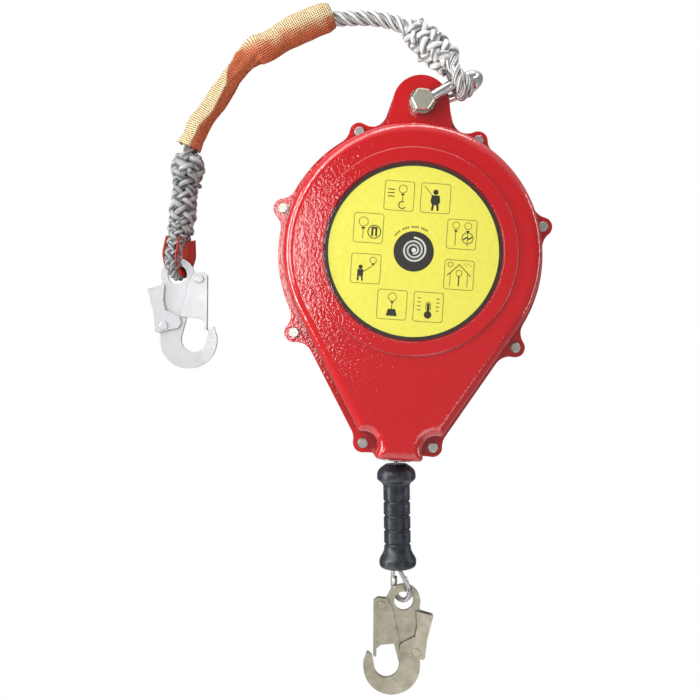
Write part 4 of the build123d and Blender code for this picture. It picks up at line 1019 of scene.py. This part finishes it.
def hook_sign(ink):
    ink.reel(4, 8)
    ink.line((4, -1), (4, -6))
    ink.arc(4, -10.5, 4.0, 60, 330, 1.1)
    for z in (7, 3, -1):
        ink.line((-13, z), (-6, z), width=1.0)


def figure_sign(ink):
    ink.disc(0, 7, 3.0)
    ink.solid([(-4.4, 3.4), (-5.6, -4), (-3.4, -8), (3.4, -8), (5.6, -4), (4.4, 3.4)])
    for side in (-1, 1):
        ink.line((side * 2.6, -8), (side * 3.2, -13.5), width=2.4)
    ink.line((-13, 13), (-4, 3))


def inset_sign(ink):
    """Reel and line beside a round inset with a bracket."""
    ink.reel(-6, 7, 1.15)
    ink.line((-6, -3), (-6, -12))
    ink.arc(7, -4, 7.4, width=1.0)
    ink.solid([(3.6, -9), (5.8, -9), (5.8, -0.5), (8.2, -0.5), (8.2, -9), (10.4, -9), (10.4, 1.6),
               (3.6, 1.6)])


def pair_sign(ink):
    """Two reels side by side, the second with a round inset."""
    for x in (-7, 7):
        ink.arc(x, 10, 4.0, width=0.5)
        ink.solid([(x - 2.3, 4.6), (x + 2.3, 4.6), (x, 1.4)])
        ink.line((x, 1.4), (x, -13))
    ink.arc(7, -4, 6.4, width=0.8)
    ink.line((2.4, -5.6), (6, -3.2), (9, -5.2), (11.6, -2.6), width=1.5)


def tethered_sign(ink):
    """Figure on a slanting line from a reel."""
    ink.reel(8, 10, 0.8)
    ink.line((7, 3), (-3, -4))
    ink.disc(-6, 1.6, 2.4)
    ink.solid([(-9.4, -1), (-9.4, -9), (-2.6, -9), (-2.6, -1)])
    for side in (-1, 1):
        ink.line((-6 + side * 2, -9), (-6 + side * 2.6, -13.6), width=1.9)


def shelter_sign(ink):
    """Reel under a roof, with a sun and drops above."""
    ink.line((-13.5, -1), (0, 12), (13.5, -1), width=0.9)
    for x in (-10, 10):
        ink.line((x, 1.5), (x, -13.5), width=0.6)
    ink.reel(0, 2, 0.75)
    ink.line((0, -4.4), (0, -12.5), width=1.3)
    ink.arc(-10.5, 11.5, 2.9, width=0.6)
    for k in range(4):
        ink.disc(6 + 2.4 * k, 13 - 2.1 * (k % 2), 0.55, 10)


def weight_sign(ink):
    ink.reel(0, 9)
    ink.line((0, 0.4), (0, -5))
    ink.solid([(-6.4, -13), (6.4, -13), (4.2, -5), (-4.2, -5)])


def gauge_sign(ink):
    """Thermometer between two scales."""
    ink.disc(0, -9, 4.4)
    ink.line((0, -9), (0, 3), width=3.0)
    ink.arc(0, 3, 2.6, 0, 180)
    for side in (-1, 1):
        ink.line((side * 2.6, 3), (side * 2.6, -3))
        for k in range(4):
            z = 10 - 4.6 * k
            ink.line((side * 9, z), (side * 12.5, z), width=0.8)


SIGNS = {
    (-21, 63): hook_sign, (21, 63): figure_sign, (-54, 23.5): inset_sign, (54, 23.5): pair_sign,
    (-54, -23.5): tethered_sign, (54, -23.5): shelter_sign, (-21, -63): weight_sign, (21, -63): gauge_sign,
}


def nameplate_print():
    """Yellow field inside the plate's black border, black hub with a white coil, and eight generic signs."""
    field = Print(1)
    field.disc(0, 0, YELLOW_R, 180)
    field.finish("nameplate_field", YELLOW)
    ink = Print(2)
    ink.disc(0, 0, HUB_R, 96)
    for centre in SIGNS:
        ink.centre = centre
        ink.square()
    for centre, sign in SIGNS.items():
        ink.centre = centre
        sign(ink)
    ink.centre = (0, 0)
    # Short dashes over the hub, where the plate has small print.
    for k in range(19):
        if k % 5 != 4:
            angle = 141 - 4.5 * k
            ink.arc(0, 0, 28.4, angle, angle + 2.6, 2.0, 2)
    ink.finish("nameplate_ink", INK)
    white = Print(3)
    white.centre = (0, 1.5)
    coil = []
    for k in range(61):
        angle = math.radians(-90 + 15 * k)
        reach = 4.0 + 10.5 * k / 60
        coil.append((reach * math.cos(angle), reach * math.sin(angle)))
    white.line(*coil, width=2.1)
    white.disc(0, 0, 2.6)
    white.finish("nameplate_hub", INK_WHITE)


nameplate_print()

# ---- Stage, light and camera ----


# Brightness of the room from floor to ceiling.
ROOM_GREYS = ((0.0, 0.50), (0.35, 0.24), (0.5, 0.30), (0.62, 0.16), (0.85, 0.60), (1.0, 0.8))
FLOOR_DROP = 0.55  # floor's depth below the object


def world_light():
    """White to the camera, and a darker room to everything that it lights."""
    world = bpy.data.worlds.new("studio")
    bpy.context.scene.world = world
    world.use_nodes = True
    nodes, links = world.node_tree.nodes, world.node_tree.links
    nodes.clear()
    output = nodes.new("ShaderNodeOutputWorld")
    seen = nodes.new("ShaderNodeBackground")
    seen.inputs["Color"].default_value = (1, 1, 1, 1)
    room = nodes.new("ShaderNodeBackground")
    ramp = nodes.new("ShaderNodeValToRGB")
    set_stops(ramp.color_ramp.elements, [(level, (grey, grey, grey)) for level, grey in ROOM_GREYS])
    coords = nodes.new("ShaderNodeTexCoord")
    split = nodes.new("ShaderNodeSeparateXYZ")
    height = nodes.new("ShaderNodeMapRange")
    height.inputs["From Min"].default_value = -1
    links.new(coords.outputs["Generated"], split.inputs["Vector"])
    links.new(split.outputs["Z"], height.inputs["Value"])
    links.new(height.outputs["Result"], ramp.inputs["Fac"])
    links.new(ramp.outputs["Color"], room.inputs["Color"])
    path = nodes.new("ShaderNodeLightPath")
    mix = nodes.new("ShaderNodeMixShader")
    links.new(path.outputs["Is Camera Ray"], mix.inputs["Fac"])
    links.new(room.outputs["Background"], mix.inputs[1])
    links.new(seen.outputs["Background"], mix.inputs[2])
    links.new(mix.outputs["Shader"], output.inputs["Surface"])


def softbox(name, location, target, size, power):
    """Rectangular light aimed at a point."""
    light = bpy.data.lights.new(name, "AREA")
    light.shape = "RECTANGLE"
    light.size, light.size_y = size
    light.energy = power
    obj = linked(name, light)
    obj.location = location
    obj.rotation_euler = (Vector(target) - Vector(location)).to_track_quat("-Z", "Y").to_euler()


def floor():
    """Plain pale floor, well below the hanging object."""
    bm = bmesh.new()
    bmesh.ops.create_circle(bm, cap_ends=True, radius=1.1, segments=96)
    bmesh.ops.translate(bm, verts=bm.verts, vec=(0, 0, cad_box[0][2] - FLOOR_DROP))
    s = Shader("floor_pale")
    s.feed("Base Color", s.blend(s.noise(6.0), (0.86, 0.86, 0.86), (0.82, 0.82, 0.82)))
    s.set(Roughness=0.7)
    from_bmesh("floor", bm, s.material)


AIM = Vector((-0.0645, MID_Y, -0.1183))
CAMERA_DISTANCE = 1.284
CAMERA_AZIMUTH = math.radians(1.12)
CAMERA_LIFT = math.radians(0.283)
CAMERA_ROLL = math.radians(3.93)
LENS = 54.9  # millimetres, on a sensor 36 wide


def camera():
    data = bpy.data.cameras.new("camera")
    data.sensor_width = 36
    data.lens = LENS
    obj = linked("camera", data)
    level = math.cos(CAMERA_LIFT)
    forward = Vector((math.sin(CAMERA_AZIMUTH) * level, math.cos(CAMERA_AZIMUTH) * level,
                      math.sin(CAMERA_LIFT)))
    obj.location = AIM - forward * CAMERA_DISTANCE
    obj.rotation_mode = "QUATERNION"
    roll = Matrix.Rotation(CAMERA_ROLL, 3, "Z").to_quaternion()
    obj.rotation_quaternion = forward.to_track_quat("-Z", "Y") @ roll
    bpy.context.scene.camera = obj


world_light()
softbox("key", (-1.15, -1.2, 0.45), (-0.1, 0, 0), (0.34, 1.5), 14.5)
softbox("above", (-0.9, -1.0, 1.5), (0, 0, 0), (0.9, 0.9), 7.5)
softbox("beside_camera", (-0.28, -1.65, 0.09), (-0.2, 0, 0.09), (0.08, 0.50), 1.7)
softbox("left_strip", (-1.4, -0.45, 0.0), (0, 0, -0.05), (0.26, 1.6), 17)
softbox("right_strip", (1.5, -0.15, 0.2), (0, 0, -0.05), (0.12, 1.5), 5)
softbox("top", (0.1, -0.3, 1.6), (0, 0, 0), (1.4, 0.4), 10)
softbox("low_front", (0.7, -1.6, -1.0), (0, 0, -0.2), (0.9, 0.9), 4.5)
floor()
camera()
bpy.context.scene.view_settings.view_transform = "Standard"
